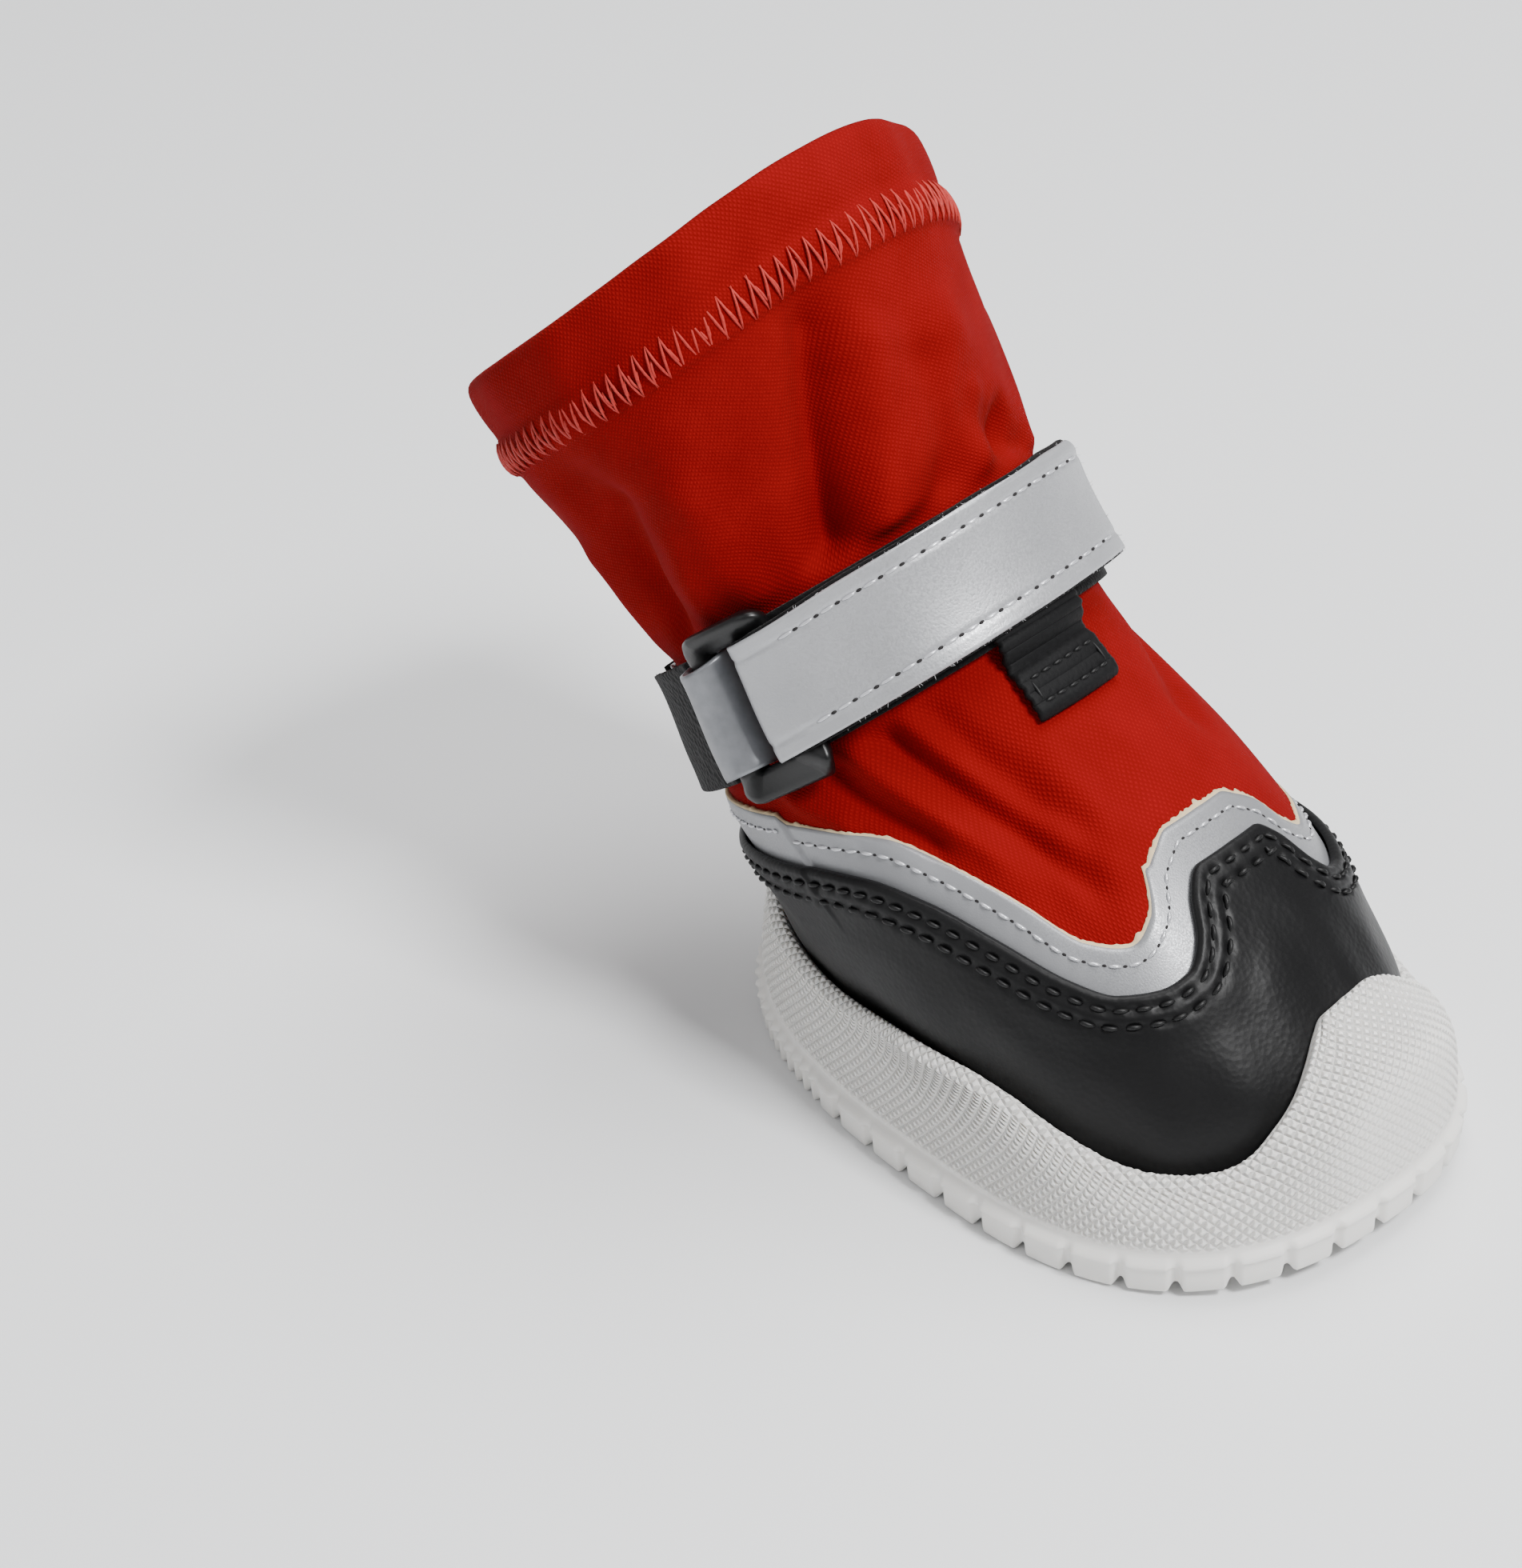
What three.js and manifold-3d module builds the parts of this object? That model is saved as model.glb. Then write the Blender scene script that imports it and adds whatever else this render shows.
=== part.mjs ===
// Dog bootie: a red softshell sleeve lasted into a white rubber cup sole, closed by one strap.
// Millimetres, +Z up, toe at +X, the boot's left side at +Y, the floor at Z = 0.
import * as THREE from "three";
import * as BufferGeometryUtils from "three/addons/utils/BufferGeometryUtils.js";
import Module from "manifold-3d";

const wasm = await Module();
wasm.setup();

// Driving sizes of the sole
const soleLength = 84;
const soleWidth = 58;
const ballAhead = 5.5;
const lugHeight = 3.2;
const plateThickness = 2.4;
const weltReach = 0.7;
const weltThickness = 1.1;
const sideWallHeight = 14;
const toeBumperHeight = 21.1;
const rubberWall = 2.2;
const toeSquare = 2.45;
const heelSquare = 2.8;
const wallSetIn = 0.3;
const wallLean = 0.12;
const lipRound = 0.6;
const toeSpring = 1.8;
const heelRise = 1.5;
const grooveDepth = 1.7;
const edgeLugCount = 20;
const edgeLugDepth = 12;
const lugGap = 2;
const lugDraft = 0.5;
const underInset = 6;

// Driving sizes of the upper
const collarHeight = 85.6;
const collarSetback = 52.8;
const collarDrift = 9.6;
const collarTilt = 44;
const collarLength = 55.2;
const collarWidth = 53;
const upperWall = 1.8;
const hemDepth = 9;
const hemSwell = 0.45;
const seamWidth = 4.2;
const seamRise = 0.55;
const vampThickness = 1.1;
const trimThickness = 0.7;
const trimTuck = 1.6;
const tuckRamp = 1.2;
const insoleThickness = 1.6;

// Driving sizes of the strap and what holds it
const strapWidth = 15;
const strapThickness = 1.1;
const strapFold = 1;
const strapSewnShort = 3;
const freeEndLift = 1.2;
const freeEndFrom = 0.72;
const ringSlot = 4.4;
const ringBar = 3.4;
const ringThickness = 2.2;
const ringCorner = 2.2;
const ringAngle = -72;
const freeEndAngle = 40;
const loopThickness = 0.9;
const loopWidth = 14;
const hookLength = 11;
const hookThickness = 1.3;
const tabWidth = 10.6;
const tabDrop = 7;
const tabThickness = 1;
const tabAngle = 3.7;
const gap = 0.35;

// How far round and along the forms are divided
const roundSteps = 48;
const degrees = Math.PI / 180;
const floorTop = lugHeight + plateThickness;

// Sections of the foot and shaft, from the cup's floor (along 0) to the collar (along 1).
// rise, back, drift and tilt are shares of the collar's; foot is a share of the sole's half
// length and width, leg a share of the collar's; square is the exponent of the oval.
const sectionColumns = [
  "along", "rise", "back", "drift", "tilt", "footLong", "legLong", "footWide", "legWide", "square",
];
const sections = [
  [0.00, 0.000, 0.000, 0.00, 0.00, 0.867, 0.000, 0.800, 0.000, 2.50],
  [0.08, 0.096, 0.019, 0.00, 0.07, 0.864, 0.000, 0.828, 0.000, 2.40],
  [0.16, 0.191, 0.095, 0.05, 0.18, 0.700, 0.152, 0.724, 0.151, 2.30],
  [0.27, 0.294, 0.258, 0.13, 0.41, 0.360, 0.499, 0.455, 0.434, 2.20],
  [0.38, 0.364, 0.428, 0.19, 0.64, 0.160, 0.670, 0.190, 0.683, 2.15],
  [0.46, 0.437, 0.528, 0.27, 0.80, 0.040, 0.794, 0.050, 0.791, 2.10],
  [0.58, 0.565, 0.634, 0.40, 0.86, 0.000, 0.819, 0.000, 0.823, 2.10],
  [0.70, 0.684, 0.729, 0.56, 0.91, 0.000, 0.877, 0.000, 0.875, 2.10],
  [0.80, 0.786, 0.814, 0.71, 0.93, 0.000, 0.938, 0.000, 0.940, 2.10],
  [0.91, 0.895, 0.909, 0.875, 0.98, 0.000, 0.989, 0.000, 0.992, 2.10],
  [1.00, 1.000, 1.000, 1.00, 1.00, 0.000, 1.000, 0.000, 1.000, 2.10],
];

// Run over the surface from along 0 to along 1, nearly
const runLength = 100;

// Place of the strap's middle line along the sections, and how far it rises on the side of
// strapHighSide and falls on the other
const strapMiddle = 0.516;
const strapTilt = 0.019;
const strapHighSide = 40;

// The collar's edge sags a little below its plane on the sides towards and away from
// collarSagSide
const collarSag = 3.6;
const collarSagSide = -62;

// Main folds of the shaft: from (along, angle) to (along, angle), width and depth in mm,
// depth below zero for a trough.
const foldColumns = ["fromAlong", "fromAngle", "toAlong", "toAngle", "width", "depth"];
const folds = [
  [0.86, -13, 0.63, -36, 4.2, -1.5],
  [0.78, 18, 0.62, -16, 4.0, 0.9],
  [0.83, -92, 0.66, -102, 5.0, -1.2],
  [0.82, -58, 0.66, -72, 5.0, 0.8],
  [0.68, 20, 0.62, 42, 3.2, -0.9],
  [0.80, 110, 0.64, 80, 5.0, -1.2],
  [0.82, 170, 0.65, 150, 5.5, -1.0],
  [0.40, -46, 0.33, -34, 3.6, -0.8],
];

// Edges of the vamp and of the trim above it, as places along the sections, by the angle
// from the middle of the front tab. On the left they rise later, by up to leftLate degrees.
const tabMiddle = 8;
const leftLate = 26;
const edgeColumns = ["turn", "vampEdge", "trimEdge"];
const edges = [
  [0, 0.250, 0.280],
  [9, 0.249, 0.279],
  [14, 0.236, 0.270],
  [19, 0.210, 0.258],
  [25, 0.194, 0.232],
  [33, 0.189, 0.219],
  [42, 0.191, 0.228],
  [50, 0.205, 0.262],
  [60, 0.238, 0.305],
  [70, 0.272, 0.338],
  [82, 0.298, 0.352],
  [98, 0.310, 0.366],
  [130, 0.320, 0.384],
  [180, 0.325, 0.392],
];

// Height of the rubber wall's lip round the sole, as shares: side is of the side wall's
// height and bumper the part of the way from there to the toe bumper's height. Lug is the
// share of the edge lugs' depth. Turn is from the middle of the bumper.
const bumperMiddle = 9;
const lipColumns = ["turn", "side", "bumper", "lug"];
const lips = [
  [0, 0.607, 1.000, 0.50],
  [6, 0.607, 0.985, 0.52],
  [10, 0.607, 0.915, 0.54],
  [15, 0.607, 0.760, 0.60],
  [20, 0.607, 0.570, 0.68],
  [25, 0.607, 0.370, 0.75],
  [31, 0.607, 0.110, 0.86],
  [36, 0.607, 0.020, 0.92],
  [41, 0.607, 0.000, 0.98],
  [46, 0.612, 0.000, 1.00],
  [52, 0.655, 0.000, 1.00],
  [58, 0.748, 0.000, 1.00],
  [65, 0.860, 0.000, 1.00],
  [72, 0.970, 0.000, 1.00],
  [80, 1.020, 0.000, 1.00],
  [92, 1.000, 0.000, 1.00],
  [110, 0.980, 0.000, 1.00],
  [140, 0.890, 0.000, 0.92],
  [180, 0.860, 0.000, 0.50],
];

// Centre pads of the tread, as corners in shares of the sole's half length and half width.
// Pairs that share a middle edge make the chevrons. The fifth lies on the origin.
const centrePads = [
  [[-0.81, 0.36], [-0.66, 0.04], [-0.44, 0.04], [-0.57, 0.38]],
  [[-0.66, 0.04], [-0.83, -0.28], [-0.62, -0.24], [-0.44, 0.04]],
  [[-0.45, 0.38], [-0.34, 0.08], [-0.13, 0.08], [-0.24, 0.39]],
  [[-0.34, 0.08], [-0.49, -0.20], [-0.28, -0.23], [-0.13, 0.08]],
  [[-0.11, 0.12], [-0.24, -0.38], [-0.02, -0.41], [0.17, 0.12]],
  [[-0.17, 0.53], [-0.05, 0.20], [0.17, 0.20], [0.02, 0.56]],
  [[0.11, 0.54], [0.25, 0.04], [0.47, 0.04], [0.28, 0.57]],
  [[0.25, 0.04], [0.01, -0.45], [0.22, -0.46], [0.47, 0.04]],
  [[0.38, 0.49], [0.48, 0.11], [0.56, 0.08], [0.59, 0.50]],
  [[0.49, -0.02], [0.32, -0.48], [0.52, -0.43], [0.55, 0.00]],
  [[0.65, 0.44], [0.64, 0.07], [0.73, 0.07], [0.77, 0.37]],
  [[0.63, -0.01], [0.61, -0.44], [0.75, -0.34], [0.72, -0.02]],
];

// A value read from a table, by monotone cubic pieces between its rows.
function readTable(table, columns, name, x) {
  const column = columns.indexOf(name);
  const last = table.length - 1;
  const at = Math.min(Math.max(x, table[0][0]), table[last][0]);
  let row = 0;
  while (row < last - 1 && table[row + 1][0] < at) row += 1;
  const slope = (k) => (table[k + 1][column] - table[k][column]) / (table[k + 1][0] - table[k][0]);
  const tangent = (k) => {
    if (k === 0) return slope(0);
    if (k === last) return slope(last - 1);
    const before = slope(k - 1);
    const after = slope(k);
    return before * after <= 0 ? 0 : (2 * before * after) / (before + after);
  };
  const run = table[row + 1][0] - table[row][0];
  const t = (at - table[row][0]) / run;
  const h01 = t * t * (3 - 2 * t);
  const h10 = t * (1 - t) * (1 - t);
  const h11 = -t * t * (1 - t);
  return table[row][column] * (1 - h01) + table[row + 1][column] * h01
    + run * (h10 * tangent(row) + h11 * tangent(row + 1));
}

function smooth(low, high, x) {
  const t = Math.min(Math.max((x - low) / (high - low), 0), 1);
  return t * t * (3 - 2 * t);
}

// Angle folded to between -180 and 180 degrees.
function wrapAngle(angle) {
  return ((((angle + 180) % 360) + 360) % 360) - 180;
}

// Point of an oval with rounded corners: exponent 2 is an ellipse, more is squarer.
function oval(angle, halfLong, halfWide, square) {
  const c = Math.cos(angle * degrees);
  const s = Math.sin(angle * degrees);
  return [
    Math.sign(c) * Math.abs(c) ** (2 / square) * halfLong,
    Math.sign(s) * Math.abs(s) ** (2 / square) * halfWide,
  ];
}

// The strap's middle line as a place along the sections.
function strapLine(angle) {
  return strapMiddle + strapTilt * Math.cos((angle - strapHighSide) * degrees);
}

// The bare section surface of the upper, before folds.
function bareUpper(along, angle) {
  const read = (name) => readTable(sections, sectionColumns, name, along);
  const tilt = read("tilt") * collarTilt * degrees;
  const halfLong = read("footLong") * soleLength / 2 + read("legLong") * collarLength / 2;
  const halfWide = read("footWide") * soleWidth / 2 + read("legWide") * collarWidth / 2;
  const [u, v] = oval(angle, halfLong, halfWide, read("square"));
  const lift = floorTop + gap + read("rise") * (collarHeight - floorTop - gap);
  const sag = collarSag * Math.cos((angle - collarSagSide) * degrees) ** 2 * smooth(0.62, 1, along);
  return new THREE.Vector3(
    -read("back") * collarSetback + u * Math.cos(tilt) + sag * Math.sin(tilt),
    -read("drift") * collarDrift + v,
    lift + u * Math.sin(tilt) - sag * Math.cos(tilt),
  );
}

// Unit vector out of the bare surface.
function upperNormal(along, angle) {
  const da = 0.004;
  const low = Math.max(along - da, 0);
  const high = Math.min(along + da, 1);
  const up = bareUpper(high, angle).sub(bareUpper(low, angle));
  const round = bareUpper(along, angle + 1.5).sub(bareUpper(along, angle - 1.5));
  return round.cross(up).normalize();
}

// Height of the main folds at a place, each a soft ridge or trough along its line. The
// strap presses the cloth flat beneath it.
function foldHeight(along, angle) {
  const pressed = smooth(0.085, 0.14, Math.abs(along - strapLine(angle)));
  const mmPerDegree = collarWidth * Math.PI / 360;
  let height = 0;
  for (const row of folds) {
    const fold = Object.fromEntries(foldColumns.map((name, k) => [name, row[k]]));
    const px = (along - fold.fromAlong) * runLength;
    const py = wrapAngle(angle - fold.fromAngle) * mmPerDegree;
    const qx = (fold.toAlong - fold.fromAlong) * runLength;
    const qy = wrapAngle(fold.toAngle - fold.fromAngle) * mmPerDegree;
    const t = Math.min(Math.max((px * qx + py * qy) / (qx * qx + qy * qy), 0), 1);
    const reach = ((px - t * qx) ** 2 + (py - t * qy) ** 2) / fold.width ** 2;
    height += fold.depth * Math.exp(-reach);
  }
  return height * pressed;
}

// Point at a distance out from the upper's outer face.
function onUpper(along, angle, out) {
  const lift = out + foldHeight(along, angle);
  return bareUpper(along, angle).addScaledVector(upperNormal(along, angle), lift);
}

// The sole curls up a little at toe and heel; the foot above follows, the shaft does not.
function curl(p) {
  const toe = Math.max((p.x / (soleLength / 2) - 0.5) / 0.5, 0);
  const heel = Math.max((-p.x / (soleLength / 2) - 0.58) / 0.42, 0);
  const fade = 1 - smooth(0.08 * collarHeight, 0.42 * collarHeight, p.z);
  p.z += (toeSpring * Math.min(toe, 1.2) ** 2 + heelRise * Math.min(heel, 1.2) ** 2) * fade;
  return p;
}

// A closed body from rings of points, each ring going round once. Poles close the ends,
// or the last ring joins the first.
function ringBody(rings, poles) {
  const n = rings[0].length;
  const points = rings.flat();
  const faces = [];
  const pairs = poles ? rings.length - 1 : rings.length;
  for (let i = 0; i < pairs; i += 1) {
    const low = i * n;
    const high = ((i + 1) % rings.length) * n;
    for (let j = 0; j < n; j += 1) {
      const k = (j + 1) % n;
      faces.push([low + j, low + k, high + k], [low + j, high + k, high + j]);
    }
  }
  if (poles) {
    const start = points.push(poles[0]) - 1;
    const end = points.push(poles[1]) - 1;
    const top = (rings.length - 1) * n;
    for (let j = 0; j < n; j += 1) {
      const k = (j + 1) % n;
      faces.push([start, k, j], [end, top + j, top + k]);
    }
  }
  return bodyFrom(points, faces);
}

// A geometry from points and faces, turned so that its volume is positive.
function bodyFrom(points, faces) {
  let volume = 0;
  for (const [a, b, c] of faces) {
    volume += points[a].dot(new THREE.Vector3().crossVectors(points[b], points[c]));
  }
  const order = volume > 0 ? faces : faces.map(([a, b, c]) => [a, c, b]);
  const geometry = new THREE.BufferGeometry();
  const flat = points.flatMap((p) => [p.x, p.y, p.z]);
  geometry.setAttribute("position", new THREE.Float32BufferAttribute(flat, 3));
  geometry.setIndex(order.flat());
  return BufferGeometryUtils.mergeVertices(geometry, 1e-4);
}

function toManifold(geometry) {
  const merged = geometry.clone();
  merged.deleteAttribute("normal");
  merged.deleteAttribute("uv");
  const welded = BufferGeometryUtils.mergeVertices(merged, 1e-4);
  return new wasm.Manifold(new wasm.Mesh({
    numProp: 3,
    vertProperties: new Float32Array(welded.attributes.position.array),
    triVerts: new Uint32Array(welded.index.array),
  }));
}

function fromManifold(solid) {
  const mesh = solid.getMesh();
  const geometry = new THREE.BufferGeometry();
  geometry.setAttribute("position", new THREE.BufferAttribute(mesh.vertProperties, 3));
  geometry.setIndex(new THREE.BufferAttribute(mesh.triVerts, 1));
  return geometry;
}

function curled(geometry) {
  const position = geometry.attributes.position;
  const p = new THREE.Vector3();
  for (let i = 0; i < position.count; i += 1) {
    curl(p.fromBufferAttribute(position, i));
    position.setXYZ(i, p.x, p.y, p.z);
  }
  return geometry;
}

const boot = new THREE.Group();

function addPiece(name, geometry, color, roughness) {
  const material = new THREE.MeshStandardMaterial({ color, roughness, metalness: 0 });
  const mesh = new THREE.Mesh(curled(geometry), material);
  mesh.name = name;
  boot.add(mesh);
}

// Angles round the foot, closer together at the front tab and the toe bumper
const footAngles = [];
for (let k = 0; k < 20; k += 1) footAngles.push(-34 + 4 * k);
for (let k = 0; k < 34; k += 1) footAngles.push(46 + 8.2 * k);

// Outline of the sole at the welt: two half ovals that meet at the widest place
function soleOutline(angle, inset) {
  const c = Math.cos(angle * degrees);
  const square = c > 0 ? toeSquare : heelSquare;
  const half = c > 0 ? soleLength / 2 - ballAhead : soleLength / 2 + ballAhead;
  const [x, y] = oval(angle, half - inset, soleWidth / 2 - inset, square);
  return [x + ballAhead, y];
}

// Turn of a place on the outline from the bumper's middle, by its bearing from the ball.
function bumperTurn(angle) {
  const [x, y] = soleOutline(angle, 0);
  return Math.abs(wrapAngle(Math.atan2(y, x - ballAhead) / degrees - bumperMiddle));
}

// Height of the rubber lip above the floor at an angle.
function lipHeight(angle) {
  const turn = bumperTurn(angle);
  const side = readTable(lips, lipColumns, "side", turn) * sideWallHeight;
  const bumper = readTable(lips, lipColumns, "bumper", turn);
  return lugHeight + side + bumper * (toeBumperHeight - side);
}

// Place along the upper's sections whose surface is at a height, by halving.
function alongAtHeight(angle, height, out) {
  let low = 0;
  let high = 0.4;
  for (let k = 0; k < 24; k += 1) {
    const middle = (low + high) / 2;
    if (onUpper(middle, angle, out).z < height) low = middle;
    else high = middle;
  }
  return (low + high) / 2;
}

const vampOut = gap + vampThickness;
const cupOut = vampOut + gap;
const wallShares = [0, 0.2, 0.4, 0.6, 0.8, 1];

// Places up the foot that the rubber's inner face and the vamp share, from just above the
// cup's floor (share 0) to just under the lip (share 1).
function underLip(angle, share) {
  const start = 0.012;
  const top = alongAtHeight(angle, lipHeight(angle) - lipRound, cupOut);
  return start + (top - start) * share;
}

// Outer face of the rubber wall: from the welt (share 0) to the lip (share 1). It stands up
// from the outline and leans in at the top until the wall is as thick as the lip.
function wallPoint(angle, share) {
  const [x, y] = soleOutline(angle, wallSetIn);
  const foot = lugHeight + weltThickness;
  const z = foot + wallSetIn + (lipHeight(angle) - foot - wallSetIn) * share;
  const lean = wallLean * share + (1 - wallLean) * share ** 4;
  const along = alongAtHeight(angle, z, cupOut);
  const inner = onUpper(along, angle, cupOut + rubberWall);
  return new THREE.Vector3(x + (inner.x - x) * lean, y + (inner.y - y) * lean, z);
}

// One edge lug: a block on the outline between two angles, down to the floor.
function edgeLug(from, to) {
  const corners = [];
  const depth = (angle) => {
    const turn = bumperTurn(angle);
    return edgeLugDepth * readTable(lips, lipColumns, "lug", turn);
  };
  for (const z of [0, lugHeight + plateThickness / 2]) {
    const draft = z === 0 ? lugDraft : 0;
    for (const share of [0, 0.5, 1]) {
      const [x, y] = soleOutline(from + (to - from) * share, draft);
      corners.push(new THREE.Vector3(x, y, z));
    }
    for (const share of [1, 0.5, 0]) {
      const angle = from + (to - from) * share;
      const [x, y] = soleOutline(angle, depth(angle) - draft);
      corners.push(new THREE.Vector3(x, y, z));
    }
  }
  return prism(corners);
}

// One prism from a lower and an upper polygon of the same number of corners.
function prism(corners) {
  const n = corners.length / 2;
  const faces = [];
  for (let j = 0; j < n; j += 1) {
    const k = (j + 1) % n;
    faces.push([j, k, n + k], [j, n + k, n + j]);
  }
  for (let j = 0; j < n / 2 - 1; j += 1) {
    const a = [j, j + 1, n - 2 - j, n - 1 - j];
    faces.push([a[0], a[2], a[1]], [a[0], a[3], a[2]]);
    faces.push([n + a[0], n + a[1], n + a[2]], [n + a[0], n + a[2], n + a[3]]);
  }
  return bodyFrom(corners, faces);
}

// One centre pad from its corners in shares of the sole.
function centrePad(shares) {
  const corners = [];
  for (const z of [0, lugHeight + plateThickness / 2]) {
    for (const [u, v] of shares) {
      corners.push(new THREE.Vector3(u * soleLength / 2, v * soleWidth / 2, z));
    }
  }
  return prism(corners);
}

// Angles that part the outline at the welt into equal lengths, starting at the toe.
function evenAngles(count) {
  const fine = 720;
  const lengths = [0];
  for (let k = 1; k <= fine; k += 1) {
    const [ax, ay] = soleOutline((k - 1) * 360 / fine, 0);
    const [bx, by] = soleOutline(k * 360 / fine, 0);
    lengths.push(lengths[k - 1] + Math.hypot(bx - ax, by - ay));
  }
  const girth = lengths[fine];
  const angles = [];
  for (let k = 0; k <= count; k += 1) {
    const at = lengths.findIndex((length) => length >= girth * k / count - 1e-9);
    angles.push(at * 360 / fine);
  }
  return { angles, girth };
}

// A ring drawn in towards the middle of the sole, so that a flat face can follow the curl.
function drawnIn(ring, share) {
  return ring.map((p) => new THREE.Vector3(p.x * share, p.y * share, p.z));
}

// The rubber cup: underside, welt, wall with its rounded lip, and the floor inside.
function outsoleBody() {
  const ring = (place) => footAngles.map(place);
  const flat = (inset, z) => ring((angle) => {
    const [x, y] = soleOutline(angle, inset);
    return new THREE.Vector3(x, y, z);
  });
  const inner = (share) => ring((angle) => onUpper(underLip(angle, share), angle, cupOut));
  const crown = ring((angle) => {
    const outer = wallPoint(angle, 1);
    const along = alongAtHeight(angle, outer.z, cupOut);
    const mid = onUpper(along, angle, cupOut + rubberWall * 0.45);
    return mid.setZ(outer.z + lipRound / 2);
  });
  const under = flat(underInset, grooveDepth);
  const floor = inner(0).map((p) => p.clone().setZ(floorTop));
  const rings = [
    drawnIn(under, 0.4),
    drawnIn(under, 0.7),
    under,
    flat(lugDraft, grooveDepth),
    flat(lugDraft / 2, lugHeight),
    flat(-weltReach, lugHeight),
    flat(-weltReach, lugHeight + weltThickness),
    flat(wallSetIn, lugHeight + weltThickness + wallSetIn),
    ring((angle) => wallPoint(angle, 0.3)),
    ring((angle) => wallPoint(angle, 0.55)),
    ring((angle) => wallPoint(angle, 0.78)),
    ring((angle) => wallPoint(angle, 0.92)),
    crown,
    ...wallShares.toReversed().map(inner),
    floor,
    drawnIn(floor, 0.75),
    drawnIn(floor, 0.45),
  ];
  const poles = [new THREE.Vector3(0, 0, grooveDepth), new THREE.Vector3(0, 0, floorTop)];
  let cup = toManifold(ringBody(rings, poles));
  const { angles, girth } = evenAngles(edgeLugCount);
  const cut = lugGap / girth * edgeLugCount / 2;
  for (let k = 0; k < edgeLugCount; k += 1) {
    const step = angles[k + 1] - angles[k];
    cup = cup.add(toManifold(edgeLug(angles[k] + cut * step, angles[k + 1] - cut * step)));
  }
  for (const pad of centrePads) cup = cup.add(toManifold(centrePad(pad)));
  return fromManifold(cup);
}

// The upper: outer face up, over the hem, and down inside.
function upperBody() {
  const along = (mm) => mm / runLength;
  const hem = 1 - along(hemDepth);
  const seamLow = hem - along(seamWidth / 2);
  const seamHigh = hem + along(seamWidth / 2);
  const outerRows = [
    [0.0, 0], [0.05, 0], [0.1, 0], [0.15, 0], [0.2, 0], [0.26, 0], [0.32, 0], [0.38, 0],
    [0.44, 0], [0.51, 0], [0.58, 0], [0.64, 0], [0.7, 0], [0.76, 0], [0.82, 0],
    [seamLow - 0.006, 0], [seamLow, seamRise], [seamHigh, seamRise], [seamHigh + 0.006, hemSwell / 2],
    [0.965, hemSwell], [0.991, hemSwell * 0.6], [1.0, -upperWall * 0.35],
  ];
  const innerRows = [
    [0.992, -upperWall * 1.15], [0.95, -upperWall], [0.86, -upperWall], [0.78, -upperWall],
    [0.69, -upperWall], [0.6, -upperWall], [0.52, -upperWall], [0.44, -upperWall],
    [0.36, -upperWall], [0.26, -upperWall], [0.15, -upperWall], [0.0, -upperWall],
  ];
  const rings = [...outerRows, ...innerRows].map(([place, out]) => {
    const ring = [];
    for (let k = 0; k < roundSteps; k += 1) ring.push(onUpper(place, k * 360 / roundSteps, out));
    return ring;
  });
  return ringBody(rings, null);
}

// The edge of the vamp or trim at an angle, as a place along the sections.
function edgeAt(name, angle) {
  const turn = wrapAngle(angle - tabMiddle);
  const late = turn < 0 ? 0 : leftLate * smooth(34, 60, turn) * (1 - smooth(80, 150, turn));
  return readTable(edges, edgeColumns, name, Math.abs(turn) - late);
}

// A place moved down from an edge by a length measured over the surface.
function below(place, angle, mm) {
  const step = 0.01;
  const rate = onUpper(place, angle, 0).distanceTo(onUpper(place - step, angle, 0)) / step;
  return place - mm / rate;
}

// Shell of the vamp: inside the cup at the bottom, over the trim's tuck at its edge.
function vampBody() {
  const overTrim = gap + trimThickness + gap;
  const ringOf = (place, out) => footAngles.map((angle) => onUpper(place(angle), angle, out));
  const edge = (angle) => edgeAt("vampEdge", angle);
  const tuck = (angle) => below(edge(angle), angle, trimTuck + tuckRamp);
  const tuckTop = (angle) => below(edge(angle), angle, trimTuck + gap);
  const bare = (share) => (angle) => {
    const low = underLip(angle, 1);
    return low + (tuck(angle) - low) * share;
  };
  const places = [
    ...wallShares.map((share) => (angle) => underLip(angle, share)),
    bare(0.35), bare(0.7), tuck,
  ];
  const rings = [
    ...places.map((place) => ringOf(place, vampOut)),
    ringOf(tuckTop, overTrim + vampThickness * 0.9),
    ringOf(edge, overTrim + vampThickness * 0.8),
    ringOf(edge, overTrim),
    ringOf(tuckTop, overTrim),
    ...places.toReversed().map((place) => ringOf(place, gap)),
  ];
  return ringBody(rings, null);
}

// Shell of the reflective band, tucked under the vamp's edge.
function trimBody() {
  const ringAt = (place, out) => footAngles.map((angle) => onUpper(place(angle), angle, out));
  const low = (angle) => below(edgeAt("vampEdge", angle), angle, trimTuck);
  const high = (angle) => edgeAt("trimEdge", angle);
  const middle = (angle) => (low(angle) + high(angle)) / 2;
  const out = gap + trimThickness;
  const rings = [
    ringAt(low, out), ringAt(middle, out), ringAt(high, out),
    ringAt(high, gap), ringAt(middle, gap), ringAt(low, gap),
  ];
  return ringBody(rings, null);
}

function insoleBody() {
  const slack = upperWall + gap;
  const angles = Array.from({ length: 36 }, (_, k) => 10 * k);
  const ring = (z, inset) => angles.map((angle) => {
    const p = onUpper(alongAtHeight(angle, z, 0), angle, -slack - inset);
    return p.setZ(z);
  });
  const low = floorTop + gap;
  const high = low + insoleThickness;
  const under = ring(low, 0.2);
  const top = ring(high, 0.5);
  const rings = [
    drawnIn(under, 0.45), drawnIn(under, 0.75), under, ring(high - 0.4, 0.2),
    top, drawnIn(top, 0.75), drawnIn(top, 0.45),
  ];
  return ringBody(rings, [new THREE.Vector3(0, 0, low), new THREE.Vector3(0, 0, high)]);
}

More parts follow.
